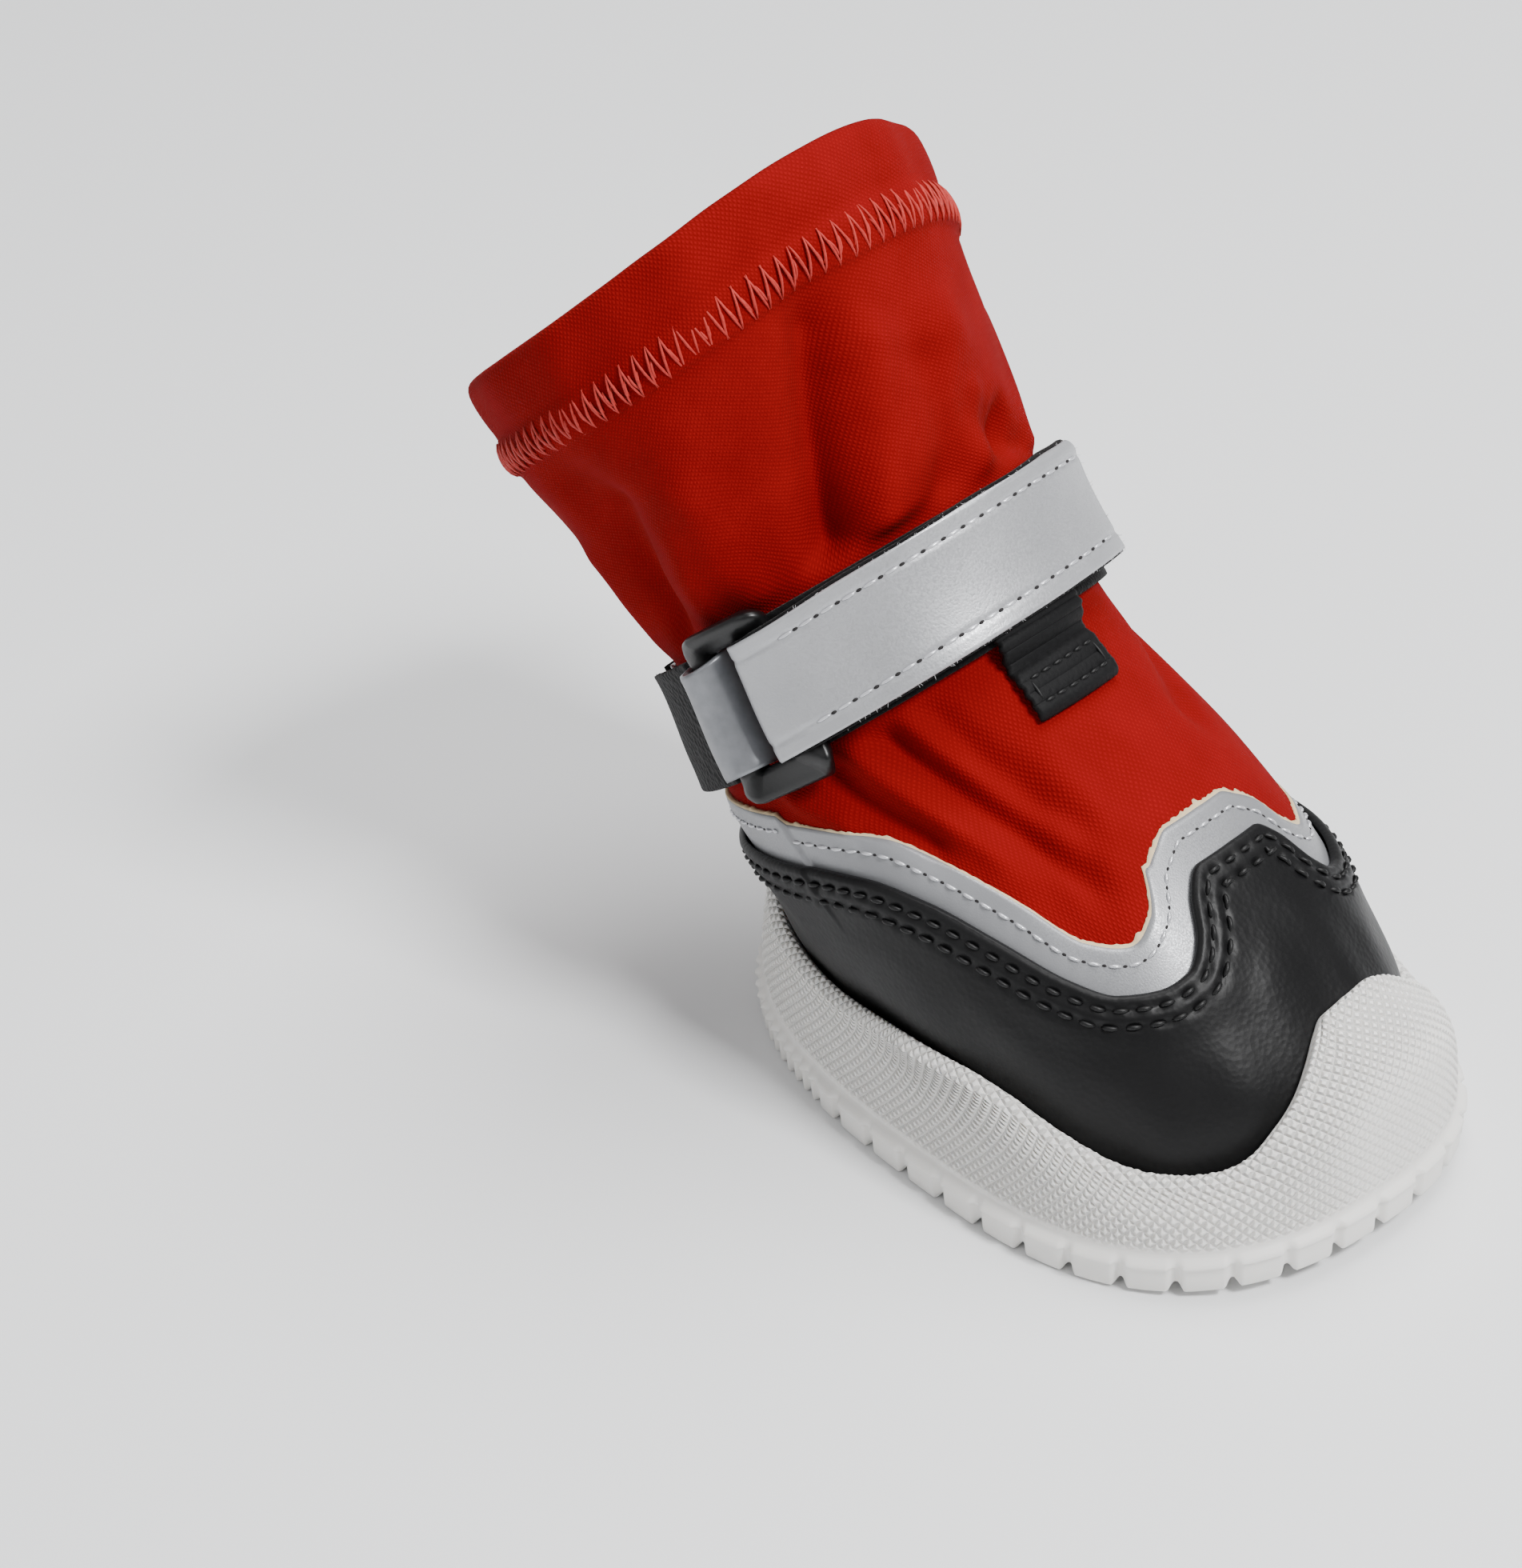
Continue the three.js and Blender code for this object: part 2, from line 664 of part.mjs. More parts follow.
// Places on the strap's course: round the ankle in mm from the ring, across in mm from the
// strap's middle line, out in mm from the upper's face.
const ankleGirth = girthAt(strapMiddle);

function girthAt(place) {
  let girth = 0;
  for (let k = 0; k < roundSteps; k += 1) {
    const a = bareUpper(place, k * 360 / roundSteps);
    girth += a.distanceTo(bareUpper(place, (k + 1) * 360 / roundSteps));
  }
  return girth;
}

function onStrap(round, across, out) {
  const angle = ringAngle + round / ankleGirth * 360;
  const step = 0.05;
  const line = strapLine(angle);
  const low = bareUpper(line - step, angle);
  const rate = low.distanceTo(bareUpper(line + step, angle)) / (2 * step);
  return onUpper(line + across / rate, angle, out);
}

// A band of one thickness along a path of (run, out) points, extruded sideways and laid
// on the strap's course.
function bandBody(path, thickness, from, to, steps, place) {
  const side = (sign) => path.map(([u, n], k) => {
    const a = path[Math.max(k - 1, 0)];
    const b = path[Math.min(k + 1, path.length - 1)];
    const length = Math.hypot(b[0] - a[0], b[1] - a[1]);
    const reach = sign * thickness / 2 / length;
    return [u - (b[1] - a[1]) * reach, n + (b[0] - a[0]) * reach];
  });
  const left = side(1);
  const right = side(-1);
  const outline = [...left, ...right.slice().reverse()];
  const n = outline.length;
  const points = [];
  const faces = [];
  for (let k = 0; k <= steps; k += 1) {
    const v = from + (to - from) * k / steps;
    for (const [u, out] of outline) points.push(place(u, v, out));
  }
  for (let k = 0; k < steps; k += 1) {
    for (let j = 0; j < n; j += 1) {
      const i = (j + 1) % n;
      const low = k * n;
      const high = low + n;
      faces.push([low + j, low + i, high + i], [low + j, high + i, high + j]);
    }
  }
  const end = steps * n;
  for (let j = 0; j < path.length - 1; j += 1) {
    const a = [j, j + 1, n - 2 - j, n - 1 - j];
    faces.push([a[0], a[2], a[1]], [a[0], a[3], a[2]]);
    faces.push([end + a[0], end + a[1], end + a[2]], [end + a[0], end + a[2], end + a[3]]);
  }
  return bodyFrom(points, faces);
}

// Levels out from the upper's face at the ring
const lowerLevel = gap + strapThickness / 2;
const barLow = gap + strapThickness + gap;
const barHigh = barLow + ringThickness;
const overBar = barHigh + gap + strapThickness / 2;
const slotHalf = ringSlot / 2;
const barOuter = slotHalf + ringBar;

// Quarter turns of a fold, as points about a centre.
function arc(centre, radius, from, to, steps) {
  const points = [];
  for (let k = 0; k <= steps; k += 1) {
    const angle = (from + (to - from) * k / steps) * degrees;
    points.push([centre[0] + radius * Math.cos(angle), centre[1] + radius * Math.sin(angle)]);
  }
  return points;
}

// Points along a straight run, both ends included.
function straight(from, to, steps) {
  return Array.from({ length: steps + 1 }, (_, k) => [
    from[0] + (to[0] - from[0]) * k / steps,
    from[1] + (to[1] - from[1]) * k / steps,
  ]);
}

function strapBody() {
  const seat = slotHalf - gap - strapThickness / 2;
  const turn = strapFold;
  const sewnEnd = ankleGirth - barOuter - loopThickness - gap - hookLength - strapSewnShort;
  const topLevel = gap + strapThickness + gap + tabThickness + gap + strapThickness / 2;
  const path = [];
  const stepLong = 4;
  const lowerStart = seat + turn;
  const lowerSteps = Math.round((sewnEnd - lowerStart) / stepLong);
  for (let k = 0; k < lowerSteps; k += 1) {
    path.push([sewnEnd + (lowerStart - sewnEnd) * k / lowerSteps, lowerLevel]);
  }
  path.push(...arc([lowerStart, lowerLevel + turn], turn, 270, 180, 2));
  path.push(...arc([lowerStart, overBar - turn], turn, 180, 90, 2));
  path.push([barOuter + 0.5, overBar]);
  const freeEnd = (freeEndAngle - ringAngle) / 360 * ankleGirth;
  const topStart = barOuter + 7;
  const topSteps = Math.round((freeEnd - topStart) / stepLong);
  for (let k = 0; k <= topSteps; k += 1) {
    const share = k / topSteps;
    const lift = freeEndLift * Math.max(share - freeEndFrom, 0) / (1 - freeEndFrom);
    path.push([topStart + (freeEnd - topStart) * share, topLevel + lift]);
  }
  return bandBody(path, strapThickness, -strapWidth / 2, strapWidth / 2, 4, onStrap);
}

function anchorBody() {
  const seat = -(slotHalf - gap - loopThickness / 2);
  const turn = strapFold;
  const under = gap + loopThickness / 2;
  const over = barHigh + gap + loopThickness / 2;
  const rear = -(barOuter + gap + loopThickness / 2);
  const tail = rear - hookLength - 0.5;
  const path = [
    ...straight([tail, under], [seat - turn - 0.2, under], 6),
    ...arc([seat - turn, under + turn], turn, 270, 360, 2),
    ...arc([seat - turn, over - turn], turn, 0, 90, 2),
    ...arc([rear + turn, over - turn], turn, 90, 180, 2),
    [rear, under + loopThickness + 2 * gap],
  ];
  return bandBody(path, loopThickness, -loopWidth / 2, loopWidth / 2, 4, onStrap);
}

function hookBody() {
  const level = gap + loopThickness + gap + hookThickness / 2;
  const start = -(barOuter + gap + loopThickness + gap);
  const path = [0, 1, 2, 3].map((k) => [start - hookLength * k / 3, level]);
  return bandBody(path, hookThickness, -strapWidth / 2, strapWidth / 2, 4, onStrap);
}

// A rounded rectangle as points, with places along its long sides.
function roundedFrame(halfRound, halfAcross, corner) {
  const x = halfRound - corner;
  const y = halfAcross - corner;
  return [
    ...arc([x, -y], corner, -90, 0, 3),
    ...straight([halfRound, -y], [halfRound, y], 4).slice(1, -1),
    ...arc([x, y], corner, 0, 90, 3),
    ...arc([-x, y], corner, 90, 180, 3),
    ...straight([-halfRound, y], [-halfRound, -y], 4).slice(1, -1),
    ...arc([-x, -y], corner, 180, 270, 3),
  ];
}

// The ring: a rounded frame with one slot, laid on the strap's course.
function ringSolid() {
  const slotAcross = strapWidth / 2 + gap;
  const outer = roundedFrame(barOuter, slotAcross + ringBar * 0.75, ringCorner);
  const slot = roundedFrame(slotHalf, slotAcross, 0.5);
  const ringAt = (share, out) => slot.map(([u, v], k) => {
    const round = u + (outer[k][0] - u) * share;
    return onStrap(round, v + (outer[k][1] - v) * share, out);
  });
  const edge = 0.5;
  const rings = [
    ringAt(0, barLow + edge), ringAt(0, barHigh - edge), ringAt(0.25, barHigh),
    ringAt(0.75, barHigh), ringAt(1, barHigh - edge), ringAt(1, barLow + edge),
    ringAt(0.8, barLow), ringAt(0.2, barLow),
  ];
  return ringBody(rings, null);
}

// The webbing tab: sewn down below the strap, then up between the strap's two layers.
function keeperBody() {
  const middle = (tabAngle - ringAngle) / 360 * ankleGirth;
  const low = gap + tabThickness / 2;
  const high = gap + strapThickness + gap + tabThickness / 2;
  const edge = -strapWidth / 2;
  const path = [
    [edge - tabDrop, low], [edge - tabDrop / 2, low], [edge - 2.6, low],
    [edge - 0.8, high], [edge + strapWidth * 0.35, high], [edge + strapWidth * 0.7, high],
  ];
  const place = (across, round, out) => onStrap(middle + round, across, out);
  return bandBody(path, tabThickness, -tabWidth / 2, tabWidth / 2, 3, place);
}

addPiece("outsole", outsoleBody(), 0xe4e2df, 0.62);
addPiece("insole", insoleBody(), 0x3a3b3e, 0.9);
addPiece("upper", upperBody(), 0xb91f1c, 0.85);
addPiece("vamp", vampBody(), 0x1b1b1d, 0.5);
addPiece("reflective_trim", trimBody(), 0xa4a6aa, 0.4);
addPiece("strap", strapBody(), 0xa9abaf, 0.4);
addPiece("strap_ring", ringSolid(), 0x131314, 0.45);
addPiece("anchor_loop", anchorBody(), 0x8d8f93, 0.45);
addPiece("hook_patch", hookBody(), 0x0e0e0f, 0.95);
addPiece("keeper_tab", keeperBody(), 0x151516, 0.8);

export default boot;
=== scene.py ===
"""Dog bootie: the look of each sewn, moulded and folded piece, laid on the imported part.

Sizes are in millimetres until a mesh is filled, where they become metres. The toe points
along +X, the boot's left side along +Y, and the floor is at Z = 0.
"""

import bpy
import numpy as np
from mathutils import Matrix, Vector


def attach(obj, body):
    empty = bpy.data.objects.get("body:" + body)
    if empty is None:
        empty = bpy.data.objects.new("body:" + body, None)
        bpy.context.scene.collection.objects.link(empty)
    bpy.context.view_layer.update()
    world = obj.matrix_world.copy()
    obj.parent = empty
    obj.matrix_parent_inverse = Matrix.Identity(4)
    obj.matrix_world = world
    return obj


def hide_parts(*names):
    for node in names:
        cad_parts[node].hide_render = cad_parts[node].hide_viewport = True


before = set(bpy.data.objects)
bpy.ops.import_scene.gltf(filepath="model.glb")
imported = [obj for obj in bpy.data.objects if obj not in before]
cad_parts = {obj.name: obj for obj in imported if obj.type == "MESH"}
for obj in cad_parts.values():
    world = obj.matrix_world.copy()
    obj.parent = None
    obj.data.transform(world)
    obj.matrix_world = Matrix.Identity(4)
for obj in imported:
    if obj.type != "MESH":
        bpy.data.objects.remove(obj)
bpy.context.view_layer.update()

# The sleeve: one tube of red stretch softshell for foot and shaft, hemmed at the collar.
# It is laid as sections of the last, then creased where the cloth slumps above
# and below the strap.
sole_length, sole_width = 84.0, 58.0
floor_top, gap = 5.6, 0.35
collar_height, collar_setback, collar_drift, collar_tilt = 85.6, 52.8, 9.6, 44.0
collar_length, collar_width = 55.2, 53.0
sleeve_wall, run_length = 1.8, 100.0
toe_spring, heel_rise = 1.8, 1.5
strap_middle, strap_tilt, strap_high_side, strap_width = 0.516, 0.019, 40.0, 15.0
collar_sag, collar_sag_side = 3.6, -62.0
hem_depth, seam_width, seam_rise = 9.0, 4.2, 0.6

# along, rise, back, drift, tilt, foot_long, leg_long, foot_wide, leg_wide, square
sections = np.array([
    [0.00, 0.000, 0.000, 0.00, 0.00, 0.867, 0.000, 0.800, 0.000, 2.50],
    [0.08, 0.096, 0.019, 0.00, 0.07, 0.864, 0.000, 0.828, 0.000, 2.40],
    [0.16, 0.191, 0.095, 0.05, 0.18, 0.700, 0.152, 0.724, 0.151, 2.30],
    [0.27, 0.294, 0.258, 0.13, 0.41, 0.360, 0.499, 0.455, 0.434, 2.20],
    [0.38, 0.364, 0.428, 0.19, 0.64, 0.160, 0.670, 0.190, 0.683, 2.15],
    [0.46, 0.437, 0.528, 0.27, 0.80, 0.040, 0.794, 0.050, 0.791, 2.10],
    [0.58, 0.565, 0.634, 0.40, 0.86, 0.000, 0.819, 0.000, 0.823, 2.10],
    [0.70, 0.684, 0.729, 0.56, 0.91, 0.000, 0.877, 0.000, 0.875, 2.10],
    [0.80, 0.786, 0.814, 0.71, 0.93, 0.000, 0.938, 0.000, 0.940, 2.10],
    [0.91, 0.895, 0.909, 0.875, 0.98, 0.000, 0.989, 0.000, 0.992, 2.10],
    [1.00, 1.000, 1.000, 1.00, 1.00, 0.000, 1.000, 0.000, 1.000, 2.10],
])

# Creases of the cloth: line of (along, angle) places, half width and depth in mm, all
# deepened alike by crease_gain
crease_gain = 1.4
creases = [
    ([(0.86, -13), (0.63, -36)], 4.2, -1.5),
    ([(0.78, 18), (0.62, -16)], 4.0, 0.9),
    ([(0.83, -92), (0.66, -102)], 5.0, -1.2),
    ([(0.82, -58), (0.66, -72)], 5.0, 0.8),
    ([(0.68, 20), (0.62, 42)], 3.2, -0.9),
    ([(0.80, 110), (0.64, 80)], 5.0, -1.2),
    ([(0.82, 170), (0.65, 150)], 5.5, -1.0),
    ([(0.40, -46), (0.33, -34)], 3.6, -0.8),
    ([(0.84, -14), (0.76, -23), (0.68, -31), (0.595, -38)], 2.6, -1.5),
    ([(0.80, -2), (0.70, -12), (0.60, -22)], 2.8, 0.9),
    ([(0.76, 8), (0.66, 4), (0.59, -4)], 2.4, -0.7),
    ([(0.70, 22), (0.62, 14), (0.58, 6)], 2.0, 0.6),
    ([(0.67, 36), (0.60, 24)], 1.8, -0.9),
    ([(0.74, -60), (0.66, -64), (0.59, -60)], 3.2, 0.6),
    ([(0.78, -84), (0.70, -94), (0.60, -98)], 3.0, -1.1),
    ([(0.72, -74), (0.62, -78)], 2.6, 0.5),
    ([(0.45, -50), (0.39, -40), (0.33, -30), (0.27, -24)], 2.2, -1.2),
    ([(0.45, -34), (0.38, -26), (0.31, -17)], 2.0, -0.9),
    ([(0.44, -68), (0.38, -62), (0.33, -52)], 2.0, -1.1),
    ([(0.44, -58), (0.37, -49), (0.31, -40)], 1.8, 0.8),
    ([(0.44, -42), (0.37, -33), (0.30, -24)], 1.6, 0.6),
    ([(0.43, -86), (0.39, -80), (0.36, -70)], 1.6, 0.6),
    ([(0.40, -10), (0.32, -14), (0.25, -20)], 3.2, 0.4),
    ([(0.26, -34), (0.31, -30), (0.35, -20)], 2.4, -0.45),
    ([(0.79, 70), (0.68, 58), (0.60, 52)], 3.0, 0.7),
    ([(0.82, 96), (0.70, 74), (0.60, 66)], 2.8, -1.0),
    ([(0.76, 136), (0.62, 118)], 3.0, 0.7),
    ([(0.80, 158), (0.68, 144), (0.60, 140)], 2.8, -1.0),
    ([(0.78, -140), (0.66, -150), (0.60, -146)], 3.0, -0.9),
    ([(0.74, -118), (0.62, -122)], 3.0, 0.6),
    ([(0.43, 60), (0.38, 50), (0.34, 36)], 2.2, -0.8),
    ([(0.42, 86), (0.38, 74)], 2.0, 0.5),
    ([(0.44, 120), (0.40, 128)], 2.4, -0.6),
]


def linear(colour):
    """Linear RGBA of an sRGB hex colour: the standard curve, undone channel by channel."""
    channels = np.array([int(colour[k:k + 2], 16) / 255 for k in (1, 3, 5)])
    low, high = channels / 12.92, ((channels + 0.055) / 1.055) ** 2.4
    return (*np.where(channels <= 0.04045, low, high), 1.0)


def smooth(low, high, x):
    """0 below low, 1 above high, and 3t^2 - 2t^3 between."""
    t = np.clip((x - low) / (high - low), 0, 1)
    return t * t * (3 - 2 * t)


def unit(vectors):
    """Vectors at length 1."""
    return vectors / np.linalg.norm(vectors, axis=-1, keepdims=True)


def table_at(table, x):
    """Every column of a table at x: monotone cubic pieces between its rows."""
    x = np.clip(np.asarray(x, float), table[0, 0], table[-1, 0])
    run = np.diff(table[:, 0])
    slope = np.diff(table[:, 1:], axis=0) / run[:, None]
    before, after = slope[:-1], slope[1:]
    total = np.where(before + after == 0, 1, before + after)
    inner = np.where(before * after > 0, 2 * before * after / total, 0)
    tangent = np.vstack([slope[:1], inner, slope[-1:]])
    k = np.clip(np.searchsorted(table[:, 0], x) - 1, 0, len(run) - 1)
    t, h = ((x - table[k, 0]) / run[k])[..., None], run[k][..., None]
    rise = t * t * (3 - 2 * t)
    return (table[k, 1:] * (1 - rise) + table[k + 1, 1:] * rise
            + h * (t * (1 - t) ** 2 * tangent[k] - t * t * (1 - t) * tangent[k + 1]))


def wrap(angle):
    """Angle folded to between -180 and 180 degrees."""
    return (np.asarray(angle) + 180) % 360 - 180


def oval(angle, half_long, half_wide, square):
    """Superellipse |x/a|^n + |y/b|^n = 1 at a parameter angle in degrees."""
    c, s = np.cos(np.radians(angle)), np.sin(np.radians(angle))
    return (np.sign(c) * np.abs(c) ** (2 / square) * half_long,
            np.sign(s) * np.abs(s) ** (2 / square) * half_wide)


def strap_line(angle):
    """The strap's middle as a place along the sleeve, higher on one side: m + t*cos(turn)."""
    return strap_middle + strap_tilt * np.cos(np.radians(angle - strap_high_side))


def bare_sleeve(along, angle):
    """Uncreased sleeve: an oval section, tilted and set back along the shaft's path, whose
    collar sags on two sides by the square of the cosine from them."""
    along, angle = np.broadcast_arrays(np.asarray(along, float), np.asarray(angle, float))
    columns = np.moveaxis(table_at(sections, along), -1, 0)
    rise, back, drift, tilt, foot_long, leg_long, foot_wide, leg_wide, square = columns
    lean = np.radians(tilt * collar_tilt)
    u, v = oval(angle, (foot_long * sole_length + leg_long * collar_length) / 2,
                (foot_wide * sole_width + leg_wide * collar_width) / 2, square)
    lift = floor_top + gap + rise * (collar_height - floor_top - gap)
    sag = (collar_sag * np.cos(np.radians(angle - collar_sag_side)) ** 2
           * smooth(0.62, 1, along))
    return np.stack([-back * collar_setback + u * np.cos(lean) + sag * np.sin(lean),
                     -drift * collar_drift + v,
                     lift + u * np.sin(lean) - sag * np.cos(lean)], -1)


def sleeve_normal(along, angle):
    """Unit normal: step round the section crossed with step up the sleeve."""
    along = np.asarray(along, float)
    up = (bare_sleeve(np.minimum(along + 0.004, 1), angle)
          - bare_sleeve(np.maximum(along - 0.004, 0), angle))
    turn = bare_sleeve(along, angle + 1.5) - bare_sleeve(along, angle - 1.5)
    return unit(np.cross(turn, up))


def crease_height(along, angle):
    """Sum of soft ridges and troughs: depth times exp(-(distance / width)^2) of each line,
    faded out where the strap presses the cloth flat."""
    along, angle = np.broadcast_arrays(np.asarray(along, float), np.asarray(angle, float))
    per_degree = collar_width * np.pi / 360
    height = np.zeros(along.shape)
    for line, width, depth in creases:
        near = np.full(along.shape, 1e9)
        for (a0, t0), (a1, t1) in zip(line[:-1], line[1:]):
            px, py = (along - a0) * run_length, wrap(angle - t0) * per_degree
            qx, qy = (a1 - a0) * run_length, wrap(t1 - t0) * per_degree
            t = np.clip((px * qx + py * qy) / (qx * qx + qy * qy), 0, 1)
            near = np.minimum(near, (px - t * qx) ** 2 + (py - t * qy) ** 2)
        height += crease_gain * depth * np.exp(-near / width ** 2)
    return height * smooth(0.074, 0.098, np.abs(along - strap_line(angle)))


def curl(points):
    """The sole's curl up at toe and heel, which fades out up the foot."""
    x, z = points[..., 0] / (sole_length / 2), points[..., 2]
    toe = np.clip((x - 0.5) / 0.5, 0, 1.2)
    heel = np.clip((-x - 0.58) / 0.42, 0, 1.2)
    fade = 1 - smooth(0.08 * collar_height, 0.42 * collar_height, z)
    lifted = points.copy()
    lifted[..., 2] += (toe_spring * toe ** 2 + heel_rise * heel ** 2) * fade
    return lifted


def on_sleeve(along, angle, out):
    """Point at a distance out from the creased sleeve, curled with the sole."""
    lift = np.asarray(out) + crease_height(along, angle)
    return curl(bare_sleeve(along, angle) + sleeve_normal(along, angle) * lift[..., None])


def waves(u, v, size, seed):
    """Smooth noise of about one wave per size: ten sine waves in seeded directions."""
    rng = np.random.default_rng(seed)
    total = 0
    for turn, phase, stretch in zip(rng.uniform(0, np.pi, 10), rng.uniform(0, 6.3, 10),
                                    rng.uniform(0.7, 1.5, 10)):
        k = 2 * np.pi * stretch / size
        total = total + np.sin(k * (u * np.cos(turn) + v * np.sin(turn)) + phase)
    return total / 3.2


def grid_faces(rows, columns, close_rows=False, close_columns=True):
    """Quads over a grid; a closed direction joins its last line to its first."""
    i = np.arange(rows if close_rows else rows - 1)[:, None]
    j = np.arange(columns if close_columns else columns - 1)[None, :]
    i2, j2 = (i + 1) % rows, (j + 1) % columns
    corners = [i * columns + j, i * columns + j2, i2 * columns + j2, i2 * columns + j]
    return np.stack(corners, -1).reshape(-1, 4)


def grid_uv(u, v):
    """Corner coordinates of each quad of a grid, from line values one longer each way
    than the quads, so that a closed direction runs on past its start."""
    uv = np.stack(np.broadcast_arrays(u, v), -1)
    return np.stack([uv[:-1, :-1], uv[:-1, 1:], uv[1:, 1:], uv[1:, :-1]], 2).reshape(-1, 2)


def lay_mesh(name, points, faces, finish, uv=None, marks=None):
    """A piece from points in mm and faces, riding on the boot; marks are point values."""
    mesh = bpy.data.meshes.new(name)
    faces = faces.tolist() if isinstance(faces, np.ndarray) else faces
    mesh.from_pydata((np.reshape(points, (-1, 3)) / 1000).tolist(), [], faces)
    mesh.polygons.foreach_set("use_smooth", np.ones(len(faces), bool))
    if uv is not None:
        mesh.uv_layers.new(name="cloth").data.foreach_set("uv", np.ravel(uv))
    for mark, values in (marks or {}).items():
        layer = mesh.attributes.new(mark, "FLOAT", "POINT")
        layer.data.foreach_set("value", np.ravel(values).astype(np.float32))
    mesh.materials.append(finish)
    piece = bpy.data.objects.new(name, mesh)
    bpy.context.scene.collection.objects.link(piece)
    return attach(piece, "root")


def new_finish(name, colour, settings):
    """A material with one shader whose named sockets are set to uniform values."""
    made = bpy.data.materials.new(name)
    made.use_nodes = True
    shader = made.node_tree.nodes["Principled BSDF"]
    shader.inputs["Base Color"].default_value = linear(colour)
    for socket, value in settings.items():
        shader.inputs[socket].default_value = value
    return made, made.node_tree, shader


def add_node(tree, kind, settings=None, links=None):
    """Adds one node: each setting goes to the input or property of that name, and each
    link to the input of that name or number."""
    made = tree.nodes.new(kind)
    for key, value in (settings or {}).items():
        if isinstance(key, str) and hasattr(made, key):
            setattr(made, key, value)
        else:
            made.inputs[key].default_value = value
    for key, source in (links or {}).items():
        tree.links.new(source, made.inputs[key])
    return made


def dress(tree, shader, mask=None, shades=None, height=None, bump=None):
    """Colour drifting between two shades by a mask, and a bump of (strength, depth in mm)
    from a height, each where it is given."""
    if mask is not None:
        mix = add_node(tree, "ShaderNodeMix", {
            "data_type": "RGBA", 6: linear(shades[0]), 7: linear(shades[1])}, {0: mask})
        tree.links.new(mix.outputs[2], shader.inputs["Base Color"])
    if height is not None:
        raised = add_node(tree, "ShaderNodeBump", {
            "Strength": bump[0], "Distance": bump[1] / 1000}, {"Height": height})
        tree.links.new(raised.outputs["Normal"], shader.inputs["Normal"])


# Softshell: knitted polyester face bonded to fleece, matte, whose short fuzz gives a soft
# sheen. The twill's true pitch of 0.3 mm is drawn at 0.42 mm so that it shows. The piece's
# UV map is in mm, so the noises' scales are waves to a mm.
twill_pitch, twill_turns, twill_dark = 0.42, (0.62, -0.95), 0.34
drift_scale, fuzz_scale = 0.16, 2.2
softshell, tree, shader = new_finish("red_softshell", "#BE1E1B", {
    "Roughness": 0.95, "Specular IOR Level": 0.05, "Sheen Weight": 0.03,
    "Sheen Roughness": 0.4, "Sheen Tint": linear("#FF6A5A")})
place = add_node(tree, "ShaderNodeTexCoord").outputs["UV"]
twill = []
for turn in twill_turns:
    lay = add_node(tree, "ShaderNodeMapping", {"Rotation": (0, 0, turn)}, {"Vector": place})
    twill.append(add_node(tree, "ShaderNodeTexWave", {
        "Scale": np.pi / (10 * twill_pitch), "Distortion": 0.6, "Detail": 1.0,
        "Detail Scale": 1.5}, {"Vector": lay.outputs["Vector"]}).outputs["Fac"])
weave = add_node(tree, "ShaderNodeMath", {"operation": "MULTIPLY"}, {0: twill[0], 1: twill[1]})
drift_noise = add_node(tree, "ShaderNodeTexNoise", {"Scale": drift_scale, "Detail": 3.0},
                       {"Vector": place})
fuzz = add_node(tree, "ShaderNodeTexNoise", {"Scale": fuzz_scale, "Detail": 2.0},
                {"Vector": place})
shade = add_node(tree, "ShaderNodeMix", {
    "data_type": "RGBA", 6: linear("#780C0E"), 7: linear("#8E1315")},
    {0: drift_noise.outputs["Fac"]})
between = add_node(tree, "ShaderNodeMath", {
    "operation": "MULTIPLY_ADD", 1: -twill_dark, 2: twill_dark}, {0: weave.outputs[0]})
dots = add_node(tree, "ShaderNodeMix", {
    "data_type": "RGBA", "blend_type": "MULTIPLY", 7: linear("#8F2A26")},
    {6: shade.outputs[2], 0: between.outputs[0]})
tree.links.new(dots.outputs[2], shader.inputs["Base Color"])
height = add_node(tree, "ShaderNodeMath", {"operation": "MULTIPLY_ADD", 1: 0.5},
                  {0: fuzz.outputs["Fac"], 2: weave.outputs[0]})
dress(tree, shader, height=height.outputs[0], bump=(0.55, 0.12))

hem_line = 1 - hem_depth / run_length
half_seam = seam_width / 2 / run_length
# along and out of each row: the shaft, the seam's swell, the hem and its roll inwards
outer_rows = np.array([
    *[(a, 0.0) for a in np.linspace(0, hem_line - half_seam - 0.008, 128)],
    (hem_line - half_seam - 0.003, 0.10), (hem_line - half_seam, 0.42),
    (hem_line - half_seam + 0.004, seam_rise), (hem_line - 0.009, seam_rise + 0.12),
    (hem_line, seam_rise + 0.15), (hem_line + 0.009, seam_rise + 0.12),
    (hem_line + half_seam - 0.004, seam_rise), (hem_line + half_seam, 0.42),
    (hem_line + half_seam + 0.004, 0.18), (0.942, 0.22), (0.950, 0.34), (0.958, 0.42),
    (0.966, 0.46), (0.974, 0.46), (0.981, 0.42), (0.987, 0.34), (0.992, 0.18),
    (0.996, -0.08), (0.9985, -0.42), (1.0, -0.85)])
inner_rows = np.array([
    (0.9985, -1.3), (0.995, -1.7), (0.99, -2.0), (0.98, -2.2), (0.95, -2.2),
    *[(a, -sleeve_wall) for a in np.linspace(0.92, 0, 46)]])
sleeve_rows = np.vstack([outer_rows, inner_rows])
sleeve_columns = 300
turns = np.linspace(-180, 180, sleeve_columns + 1)
row_along, row_out = sleeve_rows[:, :1], sleeve_rows[:, 1:]
